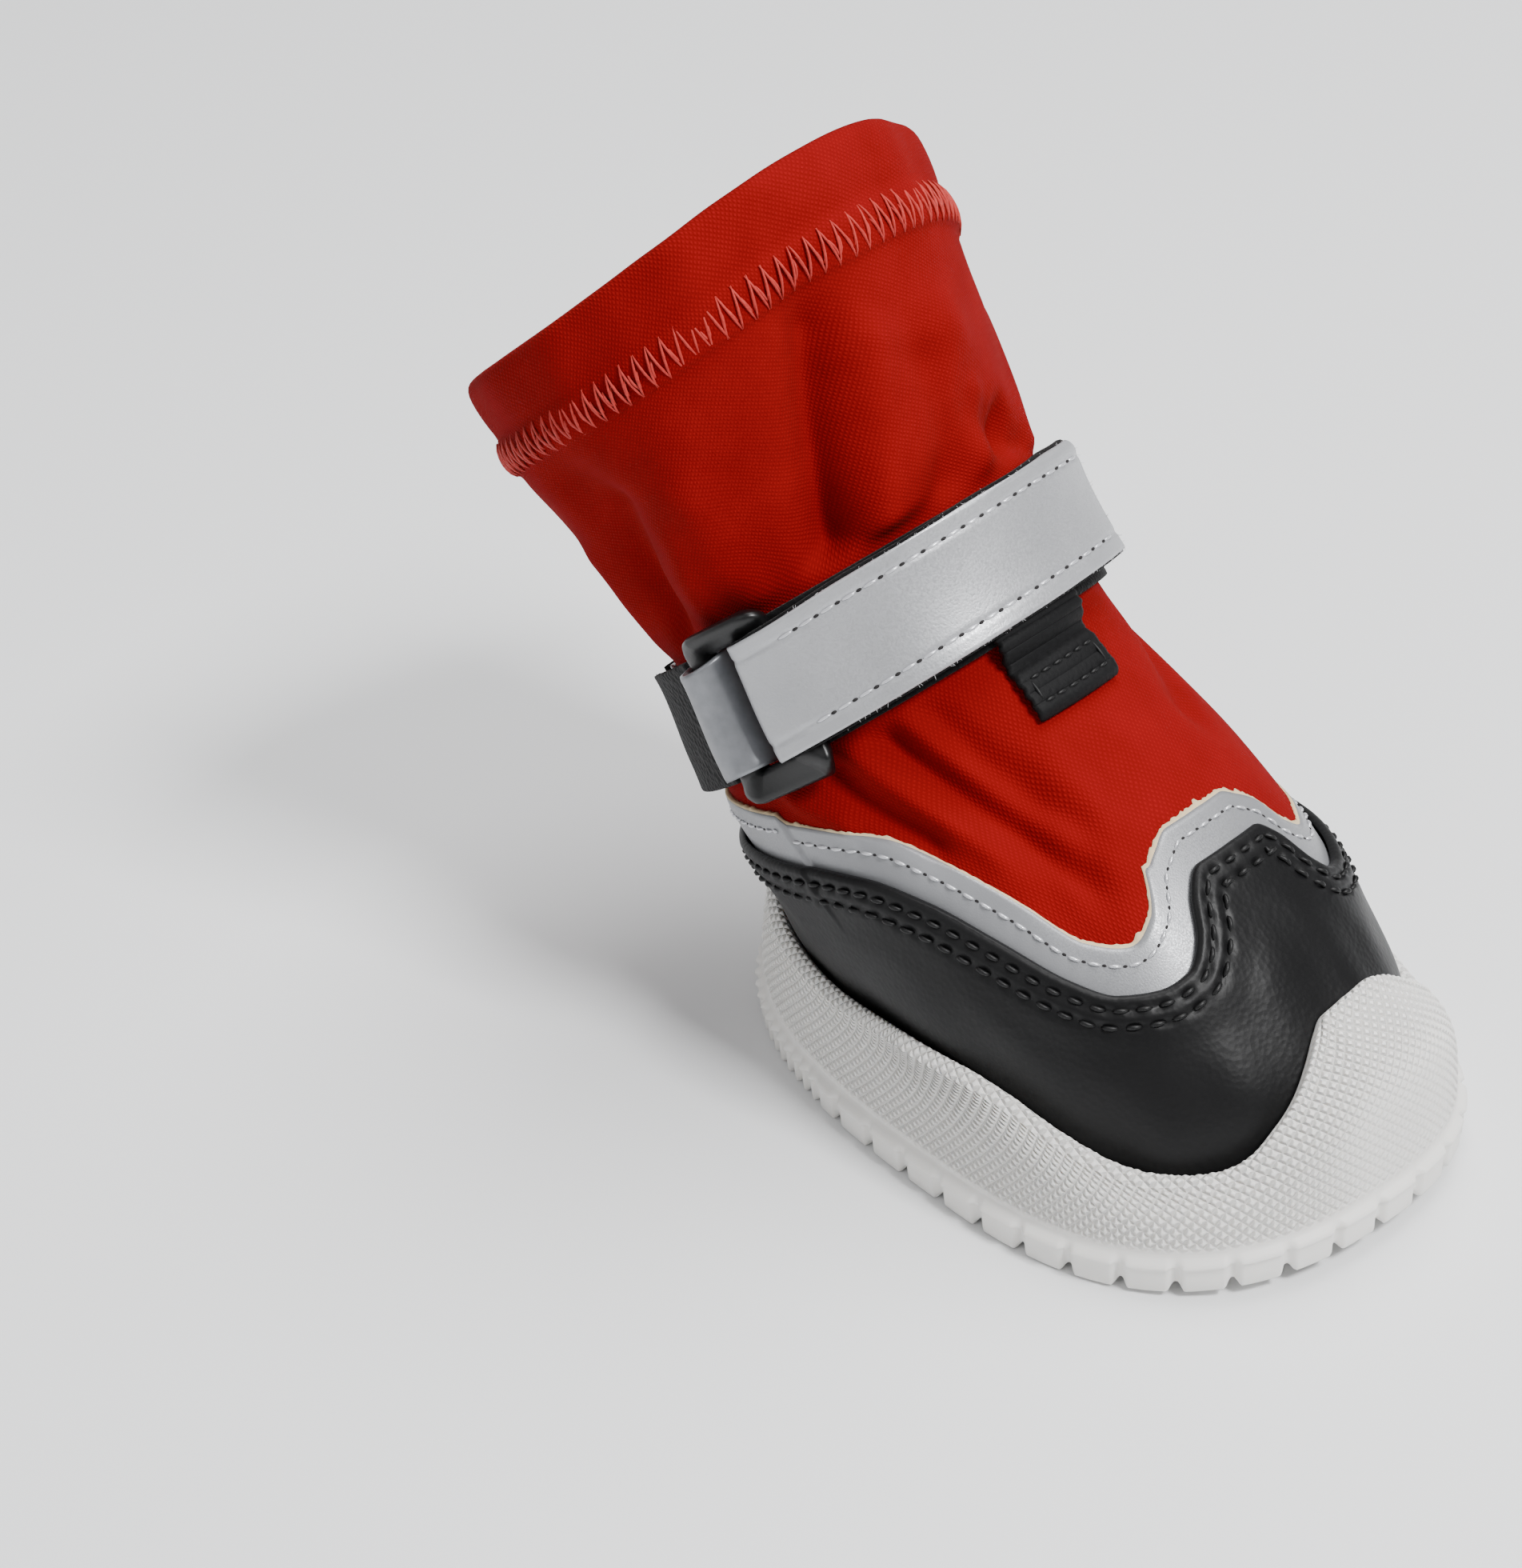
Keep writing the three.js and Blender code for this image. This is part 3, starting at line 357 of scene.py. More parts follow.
# slack of the cloth between its creases, in waves of 17 mm, and of 9 mm round the hem
slack, mean_girth = 0.16, 160.0
mm_round = turns[:-1] / 360 * mean_girth
slump = slack * (
    waves(mm_round, row_along * run_length, 17, 4) * smooth(0.3, 0.62, row_along)
    + waves(mm_round, row_along * 40, 9, 7) * smooth(0.86, 0.99, row_along))
slump = slump * smooth(0.08, 0.12, np.abs(row_along - strap_line(turns[:-1])))
points = on_sleeve(row_along, turns[:-1], row_out + slump)
girth = np.linalg.norm(np.diff(points, axis=1, append=points[:, :1]), axis=-1).sum(1)
lengthwise = np.cumsum(np.append(0, np.abs(np.diff(sleeve_rows[:, 0])) * run_length))
uv = grid_uv(turns / 360 * np.append(girth, girth[0])[:, None],
             np.append(lengthwise, 0)[:, None])
sleeve = lay_mesh("softshell_sleeve", points,
                  grid_faces(len(sleeve_rows), sleeve_columns, close_rows=True), softshell, uv)
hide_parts("upper")


# The flatlock seam: lighter red polyester thread, laced in a close zigzag over the butted
# edges of hem and shaft, with shorter looper threads lying across the middle.
def threads(paths, ups, radius, sides=6):
    """Round threads along paths (n, stations, 3): a ring of points square to the path at
    each station, shrinking at both ends, with a flat face to close each end."""
    n, m = paths.shape[:2]
    forward = unit(np.gradient(paths, axis=1))
    side = unit(np.cross(forward, ups))
    lift = np.cross(side, forward)
    a = np.arange(sides) * 2 * np.pi / sides
    taper = np.ones(m)
    taper[[0, -1]], taper[[1, -2]] = 0.35, 0.85
    ring = (np.cos(a)[:, None] * side[:, :, None] + np.sin(a)[:, None] * lift[:, :, None])
    points = paths[:, :, None] + ring * (radius * taper)[None, :, None, None]
    quads = grid_faces(m, sides)[:, ::-1] + (np.arange(n) * m * sides)[:, None, None]
    first = np.arange(sides) + (np.arange(n) * m * sides)[:, None]
    faces = [*quads.reshape(-1, 4).tolist(), *first.tolist(),
             *(first + (m - 1) * sides)[:, ::-1].tolist()]
    return points.reshape(-1, 3), faces


per_mm = 1000.0  # a noise of one wave to a mm, on places in metres


def grained(name, colour, settings, grain, detail, shades=None, bump=None):
    """A finish with one noise of grain waves to a mm on the piece's own place, which drifts
    the colour between two shades, raises a bump, or both."""
    made, tree, shader = new_finish(name, colour, settings)
    noise = add_node(tree, "ShaderNodeTexNoise", {"Scale": grain * per_mm, "Detail": detail},
                     {"Vector": add_node(tree, "ShaderNodeTexCoord").outputs["Object"]})
    fac = noise.outputs["Fac"]
    dress(tree, shader, fac if shades else None, shades, fac if bump else None, bump)
    return made


stitch_pitch, seam_row, seam_thread_radius = 1.85, 130, 0.15
stitch_count = int(round(girth[seam_row] / stitch_pitch))
step = 360 / stitch_count
rng = np.random.default_rng(11)
starts = -180 + step * np.arange(stitch_count)
lace = []
# each leg's turns as shares of a stitch and its ends as shares of half the seam: the two
# long legs of the zigzag, then the two short looper legs
for from_turn, to_turn, low, high in ((0.0, 0.5, 1.0, -1.0), (0.5, 1.0, -1.0, 1.0),
                                      (0.16, 0.48, 0.42, -0.62), (0.62, 0.92, -0.6, 0.40)):
    t = np.linspace(0, 1, 7)
    shift = rng.uniform(-0.07, 0.07, (stitch_count, 1))
    angle = starts[:, None] + step * (from_turn + (to_turn - from_turn) * t + shift)
    along = hem_line + half_seam * 1.04 * (low + (high - low) * t) + 0 * angle
    arch = seam_rise + 0.12 + 0.30 * np.sin(np.pi * t) ** 0.6 - 0.22 * (1 - np.sin(np.pi * t))
    lace.append((on_sleeve(along, angle, arch + 0 * angle), sleeve_normal(along, angle)))
paths, ups = (np.vstack([part[k] for part in lace]) for k in (0, 1))
# Seam thread: textured polyester, lighter than the cloth because its loose fibres scatter
thread_red = grained("seam_thread_red", "#A8322C", {
    "Roughness": 0.55, "Specular IOR Level": 0.25}, 2.6, 1.0, ("#981B18", "#B83A33"))
seam_thread = lay_mesh("flatlock_thread", *threads(paths, ups, seam_thread_radius), thread_red)


# The insole: a felted board that closes the foot of the sleeve, cut to the last's floor
# and glued inside the cup.
insole_thickness, board_inset = 1.6, 0.3


def along_at_height(angle, height, out):
    """Place up the sleeve where its face at a distance out reaches a height, by halving."""
    low, high = np.zeros(np.shape(angle)), np.full(np.shape(angle), 0.4)
    for _ in range(20):
        middle = (low + high) / 2
        lift = out + crease_height(middle, angle)
        z = bare_sleeve(middle, angle)[..., 2] + sleeve_normal(middle, angle)[..., 2] * lift
        low, high = np.where(z < height, middle, low), np.where(z < height, high, middle)
    return (low + high) / 2


def capped_faces(rows, columns):
    """Quads over rings closed round, with a flat face on the first and the last ring."""
    return [*grid_faces(rows, columns).tolist(), list(range(columns))[::-1],
            list(range((rows - 1) * columns, rows * columns))]


board_angles = np.arange(0, 360, 4.0)
rim = on_sleeve(along_at_height(board_angles, floor_top + gap + insole_thickness, 0),
                board_angles, -sleeve_wall - board_inset)
low, high = floor_top + gap, floor_top + gap + insole_thickness
rings = []
# share of the rim and height of each ring, from the middle beneath round to the middle
for share, z in ((0.02, low), (0.5, low), (0.97, low), (1.0, low + 0.3), (1.0, high - 0.3),
                 (0.985, high), (0.9, high + 0.05), (0.6, high + 0.05), (0.3, high), (0.02, high)):
    ring = rim * [share, share, 0]
    ring[:, 2] = z
    rings.append(curl(ring))
# Felted board: pressed grey fibres, fully matte and speckled
felt = grained("grey_felt_board", "#3A3B3E", {"Roughness": 0.95}, 1.4, 4.0,
               ("#2C2D30", "#4B4C50"), (0.6, 0.2))
insole = lay_mesh("felt_insole", np.array(rings),
                  capped_faces(len(rings), len(board_angles)), felt)
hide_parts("insole")

# The reflective band: grey glass-bead tape on a cream backing, sewn along the foxing's
# edge in silver thread. It is cut in two and the heel piece laps over the front piece.
tab_middle = 8.0
# turn from the tab's middle, edge of the foxing, edge of the band, as places along
edges = np.array([
    [0, 0.250, 0.280], [9, 0.249, 0.279], [14, 0.236, 0.270], [19, 0.210, 0.258],
    [25, 0.194, 0.232], [33, 0.189, 0.219], [42, 0.191, 0.228], [50, 0.205, 0.262],
    [60, 0.238, 0.305], [70, 0.272, 0.338], [82, 0.298, 0.352], [98, 0.310, 0.366],
    [130, 0.320, 0.384], [180, 0.325, 0.392]])
band_thickness, backing_show = 0.45, 0.28
lap_angles = (-89.0, 96.0)
lap_step, lap_rise = 0.012, 0.35
left_late = 26.0


def edge_at(angle):
    """Edges of the foxing and the band at an angle, as places along the sleeve."""
    turn = wrap(angle - tab_middle)
    late = np.where(turn > 0, left_late * smooth(34, 60, turn) * (1 - smooth(80, 150, turn)), 0)
    found = table_at(edges, np.abs(turn) - late)
    return found[..., 0], found[..., 1]


def band_end(angle):
    """1 on the heel piece behind both laps, 0 on the front piece, with a cut's width between."""
    heel = smooth(0, 0.9, lap_angles[0] - wrap(angle)) + smooth(0, 0.9, wrap(angle) - lap_angles[1])
    return np.clip(heel, 0, 1)


def parallel(along, angle, mm, out):
    """A closed line moved down the sleeve by mm, square to itself: the step d*B in the
    surface, with B = tangent x normal, solved for its along and angle parts."""
    line = on_sleeve(along, angle, out)
    tangent = unit(np.roll(line, -1, 0) - np.roll(line, 1, 0))
    normal = sleeve_normal(along, angle)
    down = np.cross(tangent, normal)
    by_along = (bare_sleeve(along + 0.005, angle) - bare_sleeve(along - 0.005, angle)) / 0.01
    by_angle = (bare_sleeve(along, angle + 0.5) - bare_sleeve(along, angle - 0.5))
    aa, ab, bb = (by_along ** 2).sum(-1), (by_along * by_angle).sum(-1), (by_angle ** 2).sum(-1)
    da, db = (by_along * down).sum(-1), (by_angle * down).sum(-1)
    det = aa * bb - ab * ab
    mm = mm * np.sign((down * by_along).sum(-1).mean()) * -1
    return along + mm * (da * bb - db * ab) / det, angle + mm * (db * aa - da * ab) / det


def dashes(line, pitch, length, rise, sink, first=0.0):
    """Dashes of thread along a line, whose rows are a place and its outward direction: each
    arches by rise over its length and dips by sink at both ends, at its holes."""
    run = np.append(0, np.cumsum(np.linalg.norm(np.diff(line[:, :3], axis=0), axis=1)))
    t = np.linspace(0, 1, 6)
    at = first + pitch * np.arange(int((run[-1] - first) / pitch))[:, None] + length * t
    found = np.stack([np.interp(at, run, line[:, k]) for k in range(6)], -1)
    arch = np.sin(np.pi * t) ** 0.7
    lift = (rise * arch - sink * (1 - arch))[:, None]
    return found[..., :3] + found[..., 3:] * lift, found[..., 3:]


def stitch_row(along, angle, out, *dash):
    """Dashes along a line on the sleeve, at a distance out from it."""
    return dashes(np.hstack([on_sleeve(along, angle, out), sleeve_normal(along, angle)]), *dash)


def bead_tape(name, colour, metallic, roughness, beads, patches, shades, rough, bump):
    """Glass-bead tape: beads and patches are (waves to a mm, detail) of two noises, one for
    roughness and bump, and one for the drift between two shades."""
    made, tree, shader = new_finish(name, colour, {
        "Metallic": metallic, "Roughness": roughness, "Specular IOR Level": 0.6})
    place = add_node(tree, "ShaderNodeTexCoord").outputs["Object"]
    bead, patch = (add_node(tree, "ShaderNodeTexNoise", {
        "Scale": scale * per_mm, "Detail": detail}, {"Vector": place}).outputs["Fac"]
        for scale, detail in (beads, patches))
    ranged = add_node(tree, "ShaderNodeMapRange", {
        "From Min": 0.3, "From Max": 0.7, "To Min": rough[0], "To Max": rough[1]},
        {"Value": bead})
    tree.links.new(ranged.outputs[0], shader.inputs["Roughness"])
    dress(tree, shader, patch, shades, bead, bump)
    return made


band_columns, band_tuck, band_level = 620, 0.022, 0.30
nub_angle, nub_width, nub_rise, nub_from = -11.5, 1.1, 0.0035, -14
turns = np.linspace(-180, 180, band_columns + 1)
foxing_edge, band_edge = edge_at(turns[:-1])
heel = band_end(turns[:-1])
# a nub of loose backing stands up off the edge beside the tab
nub = nub_rise * np.exp(-((turns[:-1] - nub_angle) / nub_width) ** 2) * (turns[:-1] > nub_from)
band_top = band_edge + lap_step * heel + nub
band_low = foxing_edge - band_tuck
along = band_low + (band_top - band_low) * np.linspace(0, 1, 13)[:, None]
level = band_level + lap_rise * heel + 0 * along
level[-1] -= 0.06
under = level - band_thickness * 0.6
rows = np.vstack([along, along[::-1]])
outs = np.vstack([level, under[::-1]])
# Retroreflective tape: glass beads over an aluminium layer, a grey satin that lights up a
# little towards the lamp
reflective = bead_tape("grey_glass_bead_tape", "#B4B6BB", 0.35, 0.42, (5.2, 1.0), (0.13, 3.0),
                       ("#858689", "#98999C"), (0.3, 0.52), (0.28, 0.06))
band = lay_mesh("reflective_band", on_sleeve(rows, turns[:-1], outs),
                grid_faces(len(rows), band_columns, close_rows=True), reflective)
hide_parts("reflective_trim")

# The band's backing: a woven cream cloth, matte, which frays out past the band's edge
cream = new_finish("cream_tape_backing", "#CDB893", {"Roughness": 0.9})[0]
show = backing_show * (0.75 + 0.6 * np.abs(waves(turns[:-1] * 0.5, 0, 1.7, 5))) / run_length
along = band_top - 0.01 + (0.01 + show) * np.linspace(0, 1, 4)[:, None]
rows = np.vstack([along, along[::-1]])
outs = np.vstack([0.24 + lap_rise * heel + 0 * along, 0.02 + 0 * along]) \
    - 0.1 * (rows > band_top + show * 0.7)
backing = lay_mesh("band_backing", on_sleeve(rows, turns[:-1], outs),
                   grid_faces(len(rows), band_columns, close_rows=True), cream)

# The band's stitches: one row of silver thread, glossy as its filaments lie straight, with
# dark painted shade for the needle holes between its dashes.
band_row, band_pitch, band_dash = 1.9, 2.15, 1.55
fine = np.linspace(-180, 180, 1201)
fine_fox, fine_band = edge_at(fine)
fine_heel = band_end(fine)
silver = new_finish("silver_thread", "#C9CACE", {
    "Metallic": 0.5, "Roughness": 0.3, "Specular IOR Level": 0.7})[0]
row_place = parallel(fine_band + lap_step * fine_heel, fine, band_row, 0.3)
row_level = band_level + lap_rise * fine_heel
paths, ups = stitch_row(*row_place, row_level, band_pitch, band_dash, 0.12, 0.16)
band_stitches = lay_mesh("band_stitches", *threads(paths, ups, 0.21), silver)
# Needle hole: painted shade, a dark dot with no shine where the thread dips into the hole
hole_shade = new_finish("needle_hole_painted_shade", "#1A1718", {"Roughness": 0.9})[0]
paths, ups = stitch_row(*row_place, row_level, band_pitch, 0.62, -0.1, 0.16, 1.53)
band_holes = lay_mesh("band_needle_holes", *threads(paths, ups, 0.2, 5), hole_shade)


# The foxing: black grained coated leather lasted over the foot, its edge left raw over
# the band and held by a double row of thick black thread.
wall_height, bumper_height, bumper_middle = 14.0, 21.1, 9.0
ball_ahead, toe_square, heel_square = 5.5, 2.45, 2.8
lug_height, lip_round, vamp_thickness = 3.2, 0.6, 1.1
# turn from the bumper's middle, side, bumper, depth of the edge lugs
lips = np.array([
    [0, 0.607, 1.000, 0.50], [6, 0.607, 0.985, 0.52], [10, 0.607, 0.915, 0.54],
    [15, 0.607, 0.760, 0.60], [20, 0.607, 0.570, 0.68], [25, 0.607, 0.370, 0.75],
    [31, 0.607, 0.110, 0.86], [36, 0.607, 0.020, 0.92], [41, 0.607, 0.000, 0.98],
    [46, 0.612, 0.000, 1.00], [52, 0.655, 0.000, 1.00], [58, 0.748, 0.000, 1.00],
    [65, 0.860, 0.000, 1.00], [72, 0.970, 0.000, 1.00], [80, 1.020, 0.000, 1.00],
    [92, 1.000, 0.000, 1.00], [110, 0.980, 0.000, 1.00], [140, 0.890, 0.000, 0.92],
    [180, 0.860, 0.000, 0.50]])
stitch_rows = (1.55, 3.35)
foxing_pitch = 2.45


def sole_outline(angle, inset):
    """Outline at the welt: two half superellipses that meet at the widest place."""
    front = np.cos(np.radians(angle)) > 0
    half = np.where(front, sole_length / 2 - ball_ahead, sole_length / 2 + ball_ahead)
    x, y = oval(angle, half - inset, sole_width / 2 - inset,
                np.where(front, toe_square, heel_square))
    return np.stack([x + ball_ahead, y], -1)


def bumper_turn(angle):
    """Turn from the bumper's middle: bearing of the outline's point from the ball."""
    at = sole_outline(angle, 0)
    bearing = np.degrees(np.arctan2(at[..., 1], at[..., 0] - ball_ahead))
    return np.abs(wrap(bearing - bumper_middle))


def lip_height(angle):
    """Height of the rubber lip: the side wall's share, raised to the bumper at the toe."""
    side, bumper, _ = np.moveaxis(table_at(lips, bumper_turn(angle)), -1, 0)
    side = side * wall_height
    return lug_height + side + bumper * (bumper_height - side)


def even_angles(point_at, count):
    """Angles that part a closed line into equal lengths."""
    fine = np.linspace(-180, 180, 2881)
    run = np.append(0, np.cumsum(np.linalg.norm(np.diff(point_at(fine), axis=0), axis=1)))
    return np.interp(np.arange(count) * run[-1] / count, run, fine), run[-1]


foxing_columns = 560
angles, _ = even_angles(lambda a: bare_sleeve(0.17, a), foxing_columns)
lip_place = along_at_height(angles, lip_height(angles) - lip_round, gap + vamp_thickness)
fox_edge, _ = edge_at(angles)
rate = np.linalg.norm(bare_sleeve(fox_edge, angles) - bare_sleeve(fox_edge - 0.01, angles),
                      axis=-1) / 0.01
# rows in mm down from the foxing's edge, closer at the edge and at both rows of stitches
down_rows = np.array([5.6, 5.2, 4.8, 4.4, 4.1, 3.8, 3.55, 3.35, 3.15, 2.9, 2.6, 2.3, 2.0,
                      1.8, 1.55, 1.3, 1.1, 0.85, 0.6, 0.35, 0.15, 0.02])
top_rows = fox_edge - down_rows[:, None] / rate
low_place = lip_place - 0.03
body_rows = low_place + (top_rows[0] - low_place) * np.linspace(0, 1, 34)[:-1, None]
rows = np.vstack([body_rows, top_rows])
edge_line = on_sleeve(fine_fox, fine, 0.9)
face = on_sleeve(rows, angles, 0.9)
edge_gap = np.empty(rows.shape)
edge_run = np.empty(rows.shape)
line_run = np.append(0, np.cumsum(np.linalg.norm(np.diff(edge_line, axis=0), axis=1)))
for k in range(len(rows)):
    apart = np.linalg.norm(face[k][:, None] - edge_line[None], axis=-1)
    near = apart.argmin(1)
    edge_gap[k], edge_run[k] = apart[np.arange(foxing_columns), near], line_run[near]
# the face: lifted where it lies over the band, pulled down at each stitch's ends, beaded
# between the two rows, rolled off at the raw edge, and slightly uneven below
level = gap + vamp_thickness - 0.1 + 0.30 * (1 - smooth(2.0, 7.0, edge_gap)) \
    + lap_rise * 0.8 * band_end(angles) * (1 - smooth(3.0, 8.0, edge_gap))
for at in stitch_rows:
    phase = np.cos(2 * np.pi * edge_run / foxing_pitch)
    level = level - np.exp(-((edge_gap - at) / 0.42) ** 2) * (0.16 - 0.14 * phase)
level = level + 0.07 * np.exp(-((edge_gap - 2.45) / 0.5) ** 2)
level = level - 0.34 * (1 - smooth(0.0, 0.75, edge_gap)) ** 2
level[-1] -= 0.25
level = level + 0.10 * waves(angles * 0.5, rows * 100, 11, 31) * smooth(4, 9, edge_gap)
inner = rows[::-4]
outs = np.vstack([level, 0.62 + lap_rise * band_end(angles) * (inner > fox_edge - 0.03)])
all_rows = np.vstack([rows, inner])
# Coated leather: a black polyurethane coat embossed with a fine pebble grain, semi-matte
# and a little shinier where it has been rubbed
pebble_scale, pore_scale, wear_scale = 1.5, 1.1, 0.06
leather, tree, shader = new_finish("black_grained_leather", "#0C0C0D", {
    "Roughness": 0.54, "Specular IOR Level": 0.22})
place = add_node(tree, "ShaderNodeTexCoord").outputs["Object"]
pebble = add_node(tree, "ShaderNodeTexVoronoi", {
    "Scale": pebble_scale * per_mm, "feature": "SMOOTH_F1", "Smoothness": 0.4},
    {"Vector": place})
pores = add_node(tree, "ShaderNodeTexNoise", {
    "Scale": pore_scale * per_mm, "Detail": 5.0, "Roughness": 0.62}, {"Vector": place})
wear = add_node(tree, "ShaderNodeTexNoise", {"Scale": wear_scale * per_mm, "Detail": 3.0},
                {"Vector": place})
tree.links.new(add_node(tree, "ShaderNodeMapRange", {
    "From Min": 0.3, "From Max": 0.7, "To Min": 0.4, "To Max": 0.52},
    {"Value": wear.outputs["Fac"]}).outputs[0], shader.inputs["Roughness"])
grain = add_node(tree, "ShaderNodeMath", {"operation": "MULTIPLY_ADD", 1: 0.7},
                 {0: pores.outputs["Fac"], 2: pebble.outputs["Distance"]})
dress(tree, shader, wear.outputs["Fac"], ("#09090A", "#101011"), grain.outputs[0], (0.3, 0.1))
foxing = lay_mesh("leather_foxing", on_sleeve(all_rows, angles, outs),
                  grid_faces(len(all_rows), foxing_columns, close_rows=True), leather)
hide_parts("vamp")

# The foxing's stitches: two rows of thick bonded black thread, slightly glossy
black_thread = new_finish("black_thread", "#070708", {
    "Roughness": 0.5, "Specular IOR Level": 0.35})[0]
parts = []
for k, at in enumerate(stitch_rows):
    line = parallel(fine_fox, fine, at, 0.9)
    out = gap + vamp_thickness + 0.10 + lap_rise * 0.8 * fine_heel
    parts.append(stitch_row(*line, out, foxing_pitch, 1.85, 0.20, 0.26, 0.6 * k))
paths, ups = (np.vstack([part[k] for part in parts]) for k in (0, 1))
foxing_stitches = lay_mesh("foxing_stitches", *threads(paths, ups, 0.27), black_thread)


# The cup sole: one moulding of warm white rubber. Its wall is knurled in small diamonds,
# its lip rolls in against the foxing, and the edge lugs bulge under the welt line.
welt_thickness, rubber_wall = 1.1, 2.2
wall_set_in, wall_lean = 0.3, 0.12
knurl_pitch, knurl_depth = 1.4, 0.26
lug_count, groove_depth = 40, 1.7
ribs_heel, ribs_ball = -38.0, -14.0


def lobes(run, pitch):
    """Edge lugs along the outline: near 1 over each lug, 0 in the notch between two."""
    notch = np.abs((run / pitch + 0.5) % 1 - 0.5) * pitch
    return smooth(0.1, 0.95, notch)


def outward_from(line):
    """Unit vectors out of a closed flat line: its tangent turned back by a right angle."""
    tangent = np.roll(line, -1, 0) - np.roll(line, 1, 0)
    return unit(np.stack([tangent[:, 1], -tangent[:, 0]], -1))


diamonds = 171
cup_columns = 6 * diamonds
angles, welt_girth = even_angles(lambda a: sole_outline(a, 0), cup_columns)
welt_run = np.arange(cup_columns) * welt_girth / cup_columns
lug_pitch = welt_girth / lug_count
outline = sole_outline(angles, 0)
outward = outward_from(outline)
# fine ribs take the place of the lugs along one stretch of the right side
ribbed = ((outline[:, 1] < 0) * smooth(ribs_heel, ribs_heel + 3, outline[:, 0])
          * (1 - smooth(ribs_ball - 3, ribs_ball, outline[:, 0])))
rib_pitch = lug_pitch / 3
lug = lobes(welt_run, lug_pitch) * (1 - ribbed) + ribbed * lobes(welt_run, rib_pitch)
big_lug = lobes(welt_run, lug_pitch * 2)
cup_out = gap + vamp_thickness + 0.1


def at_outline(reach, z):
    """Points round the welt, moved out by reach, at a height."""
    flat = outline + outward * np.reshape(reach, (-1, 1))
    return np.column_stack([flat, np.broadcast_to(z, cup_columns)])


def wall_rows(shares):
    """Outer wall: from the outline up to the lip, leaning in by 0.12s + 0.88s^4."""
    foot = lug_height + welt_thickness
    base = sole_outline(angles, wall_set_in)
    found = []
    for share in shares:
        z = foot + wall_set_in + (lip_height(angles) - foot - wall_set_in) * share
        along = along_at_height(angles, z, cup_out)
        normal = sleeve_normal(along, angles)
        inner = bare_sleeve(along, angles) + normal * (cup_out + rubber_wall)
        lean = wall_lean * share + (1 - wall_lean) * share ** 4
        flat = base + (inner[:, :2] - base) * lean
        found.append(np.column_stack([flat, z]))
    return np.array(found)


# rows spaced evenly over a wall that rises by about 12 mm and leans in by about 7 mm
wall_rise, wall_reach = 12.0, 7.0
fine_share = np.linspace(0, 0.97, 200)
wall_speed = np.hypot(wall_rise,
                      wall_reach * (wall_lean + 4 * (1 - wall_lean) * fine_share ** 3))
wall_length = np.append(0, np.cumsum((wall_speed[1:] + wall_speed[:-1]) / 2))
shares = np.interp(np.linspace(0, wall_length[-1], 64), wall_length, fine_share)
wall = wall_rows(shares)
lip_along = along_at_height(angles, lip_height(angles) - lip_round, cup_out)
lip_inner = bare_sleeve(lip_along, angles) + sleeve_normal(lip_along, angles) * cup_out
t = np.linspace(0, 1, 11)[1:]
crown = wall[-1] + (lip_inner - wall[-1]) * t[:, None, None]
crown[..., 2] += 1.15 * np.sin(np.pi * t)[:, None]
knurled = np.vstack([wall, crown])
up_wall = np.vstack([np.zeros((1, cup_columns)),
                     np.cumsum(np.linalg.norm(np.diff(knurled, axis=0), axis=-1), 0)])
turn = bumper_turn(angles)
welt_turns = np.arange(cup_columns) / cup_columns
phase_a = welt_turns * diamonds + up_wall / knurl_pitch
phase_b = welt_turns * diamonds - up_wall / knurl_pitch
ridge_a, ridge_b = (2 * np.abs((p % 1) - 0.5) for p in (phase_a, phase_b))
pyramid = np.minimum(smooth(0.0, 0.85, 1 - ridge_a), smooth(0.0, 0.85, 1 - ridge_b))
bumper = np.clip(table_at(lips, turn)[..., 1], 0, 1)
fade = 1 - 0.55 * smooth(0.4, 1.0, bumper) * (1 - smooth(0.4, 0.7, up_wall / up_wall[-1]))
ends = smooth(0.2, 1.2, up_wall) * (1 - smooth(-2.0, -0.6, up_wall - up_wall[-1]))
step_round = np.roll(knurled, -1, 1) - np.roll(knurled, 1, 1)
step_up = np.gradient(knurled, axis=0)
wall_normal = unit(np.cross(step_round, step_up))
knurled = knurled + wall_normal * (knurl_depth * (pyramid - 0.5) * fade * ends)[..., None]
# the notch between two lugs is closed by a web, which is higher between the pairs
web = 0.95 * (1 - lug * (0.45 + 0.55 * big_lug))
reach = 0.62 * lug
foot = lug_height + welt_thickness
band_rows = [
    at_outline(reach - 2.0, web + 0.9), at_outline(reach - 1.3, web + 0.12),
    at_outline(reach - 0.62, web), at_outline(reach - 0.34, web + 0.12),
    at_outline(reach - 0.2, web + 0.4), at_outline(reach - 0.12, 1.9),
    at_outline(reach - 0.1, lug_height - 0.25), at_outline(reach + 0.02, lug_height - 0.02),
    at_outline(reach + 0.2, lug_height + 0.14), at_outline(reach * 0.9 + 0.22, lug_height + 0.4),
    at_outline(reach * 0.55 + 0.1, lug_height + 0.75),
    at_outline(reach * 0.2 - 0.1, foot - 0.05)]
inside = []
for share in (0.6, 0.25, 0.0):
    place_up = 0.012 + (lip_along - 0.012) * share
    inside.append(bare_sleeve(place_up, angles) + sleeve_normal(place_up, angles) * cup_out)
cup_floor = inside[-1] * [1, 1, 0] + [0, 0, floor_top]
closing = [cup_floor * [0.6, 0.6, 1], cup_floor * [0.02, 0.02, 1]]
under_side = [band_rows[0] * [share, share, 0] + [0, 0, 2.3] for share in (0.02, 0.6)]
rows = curl(np.vstack([np.array(under_side), np.array(band_rows), knurled,
                       np.array(inside), np.array([cup_floor]), np.array(closing)]))
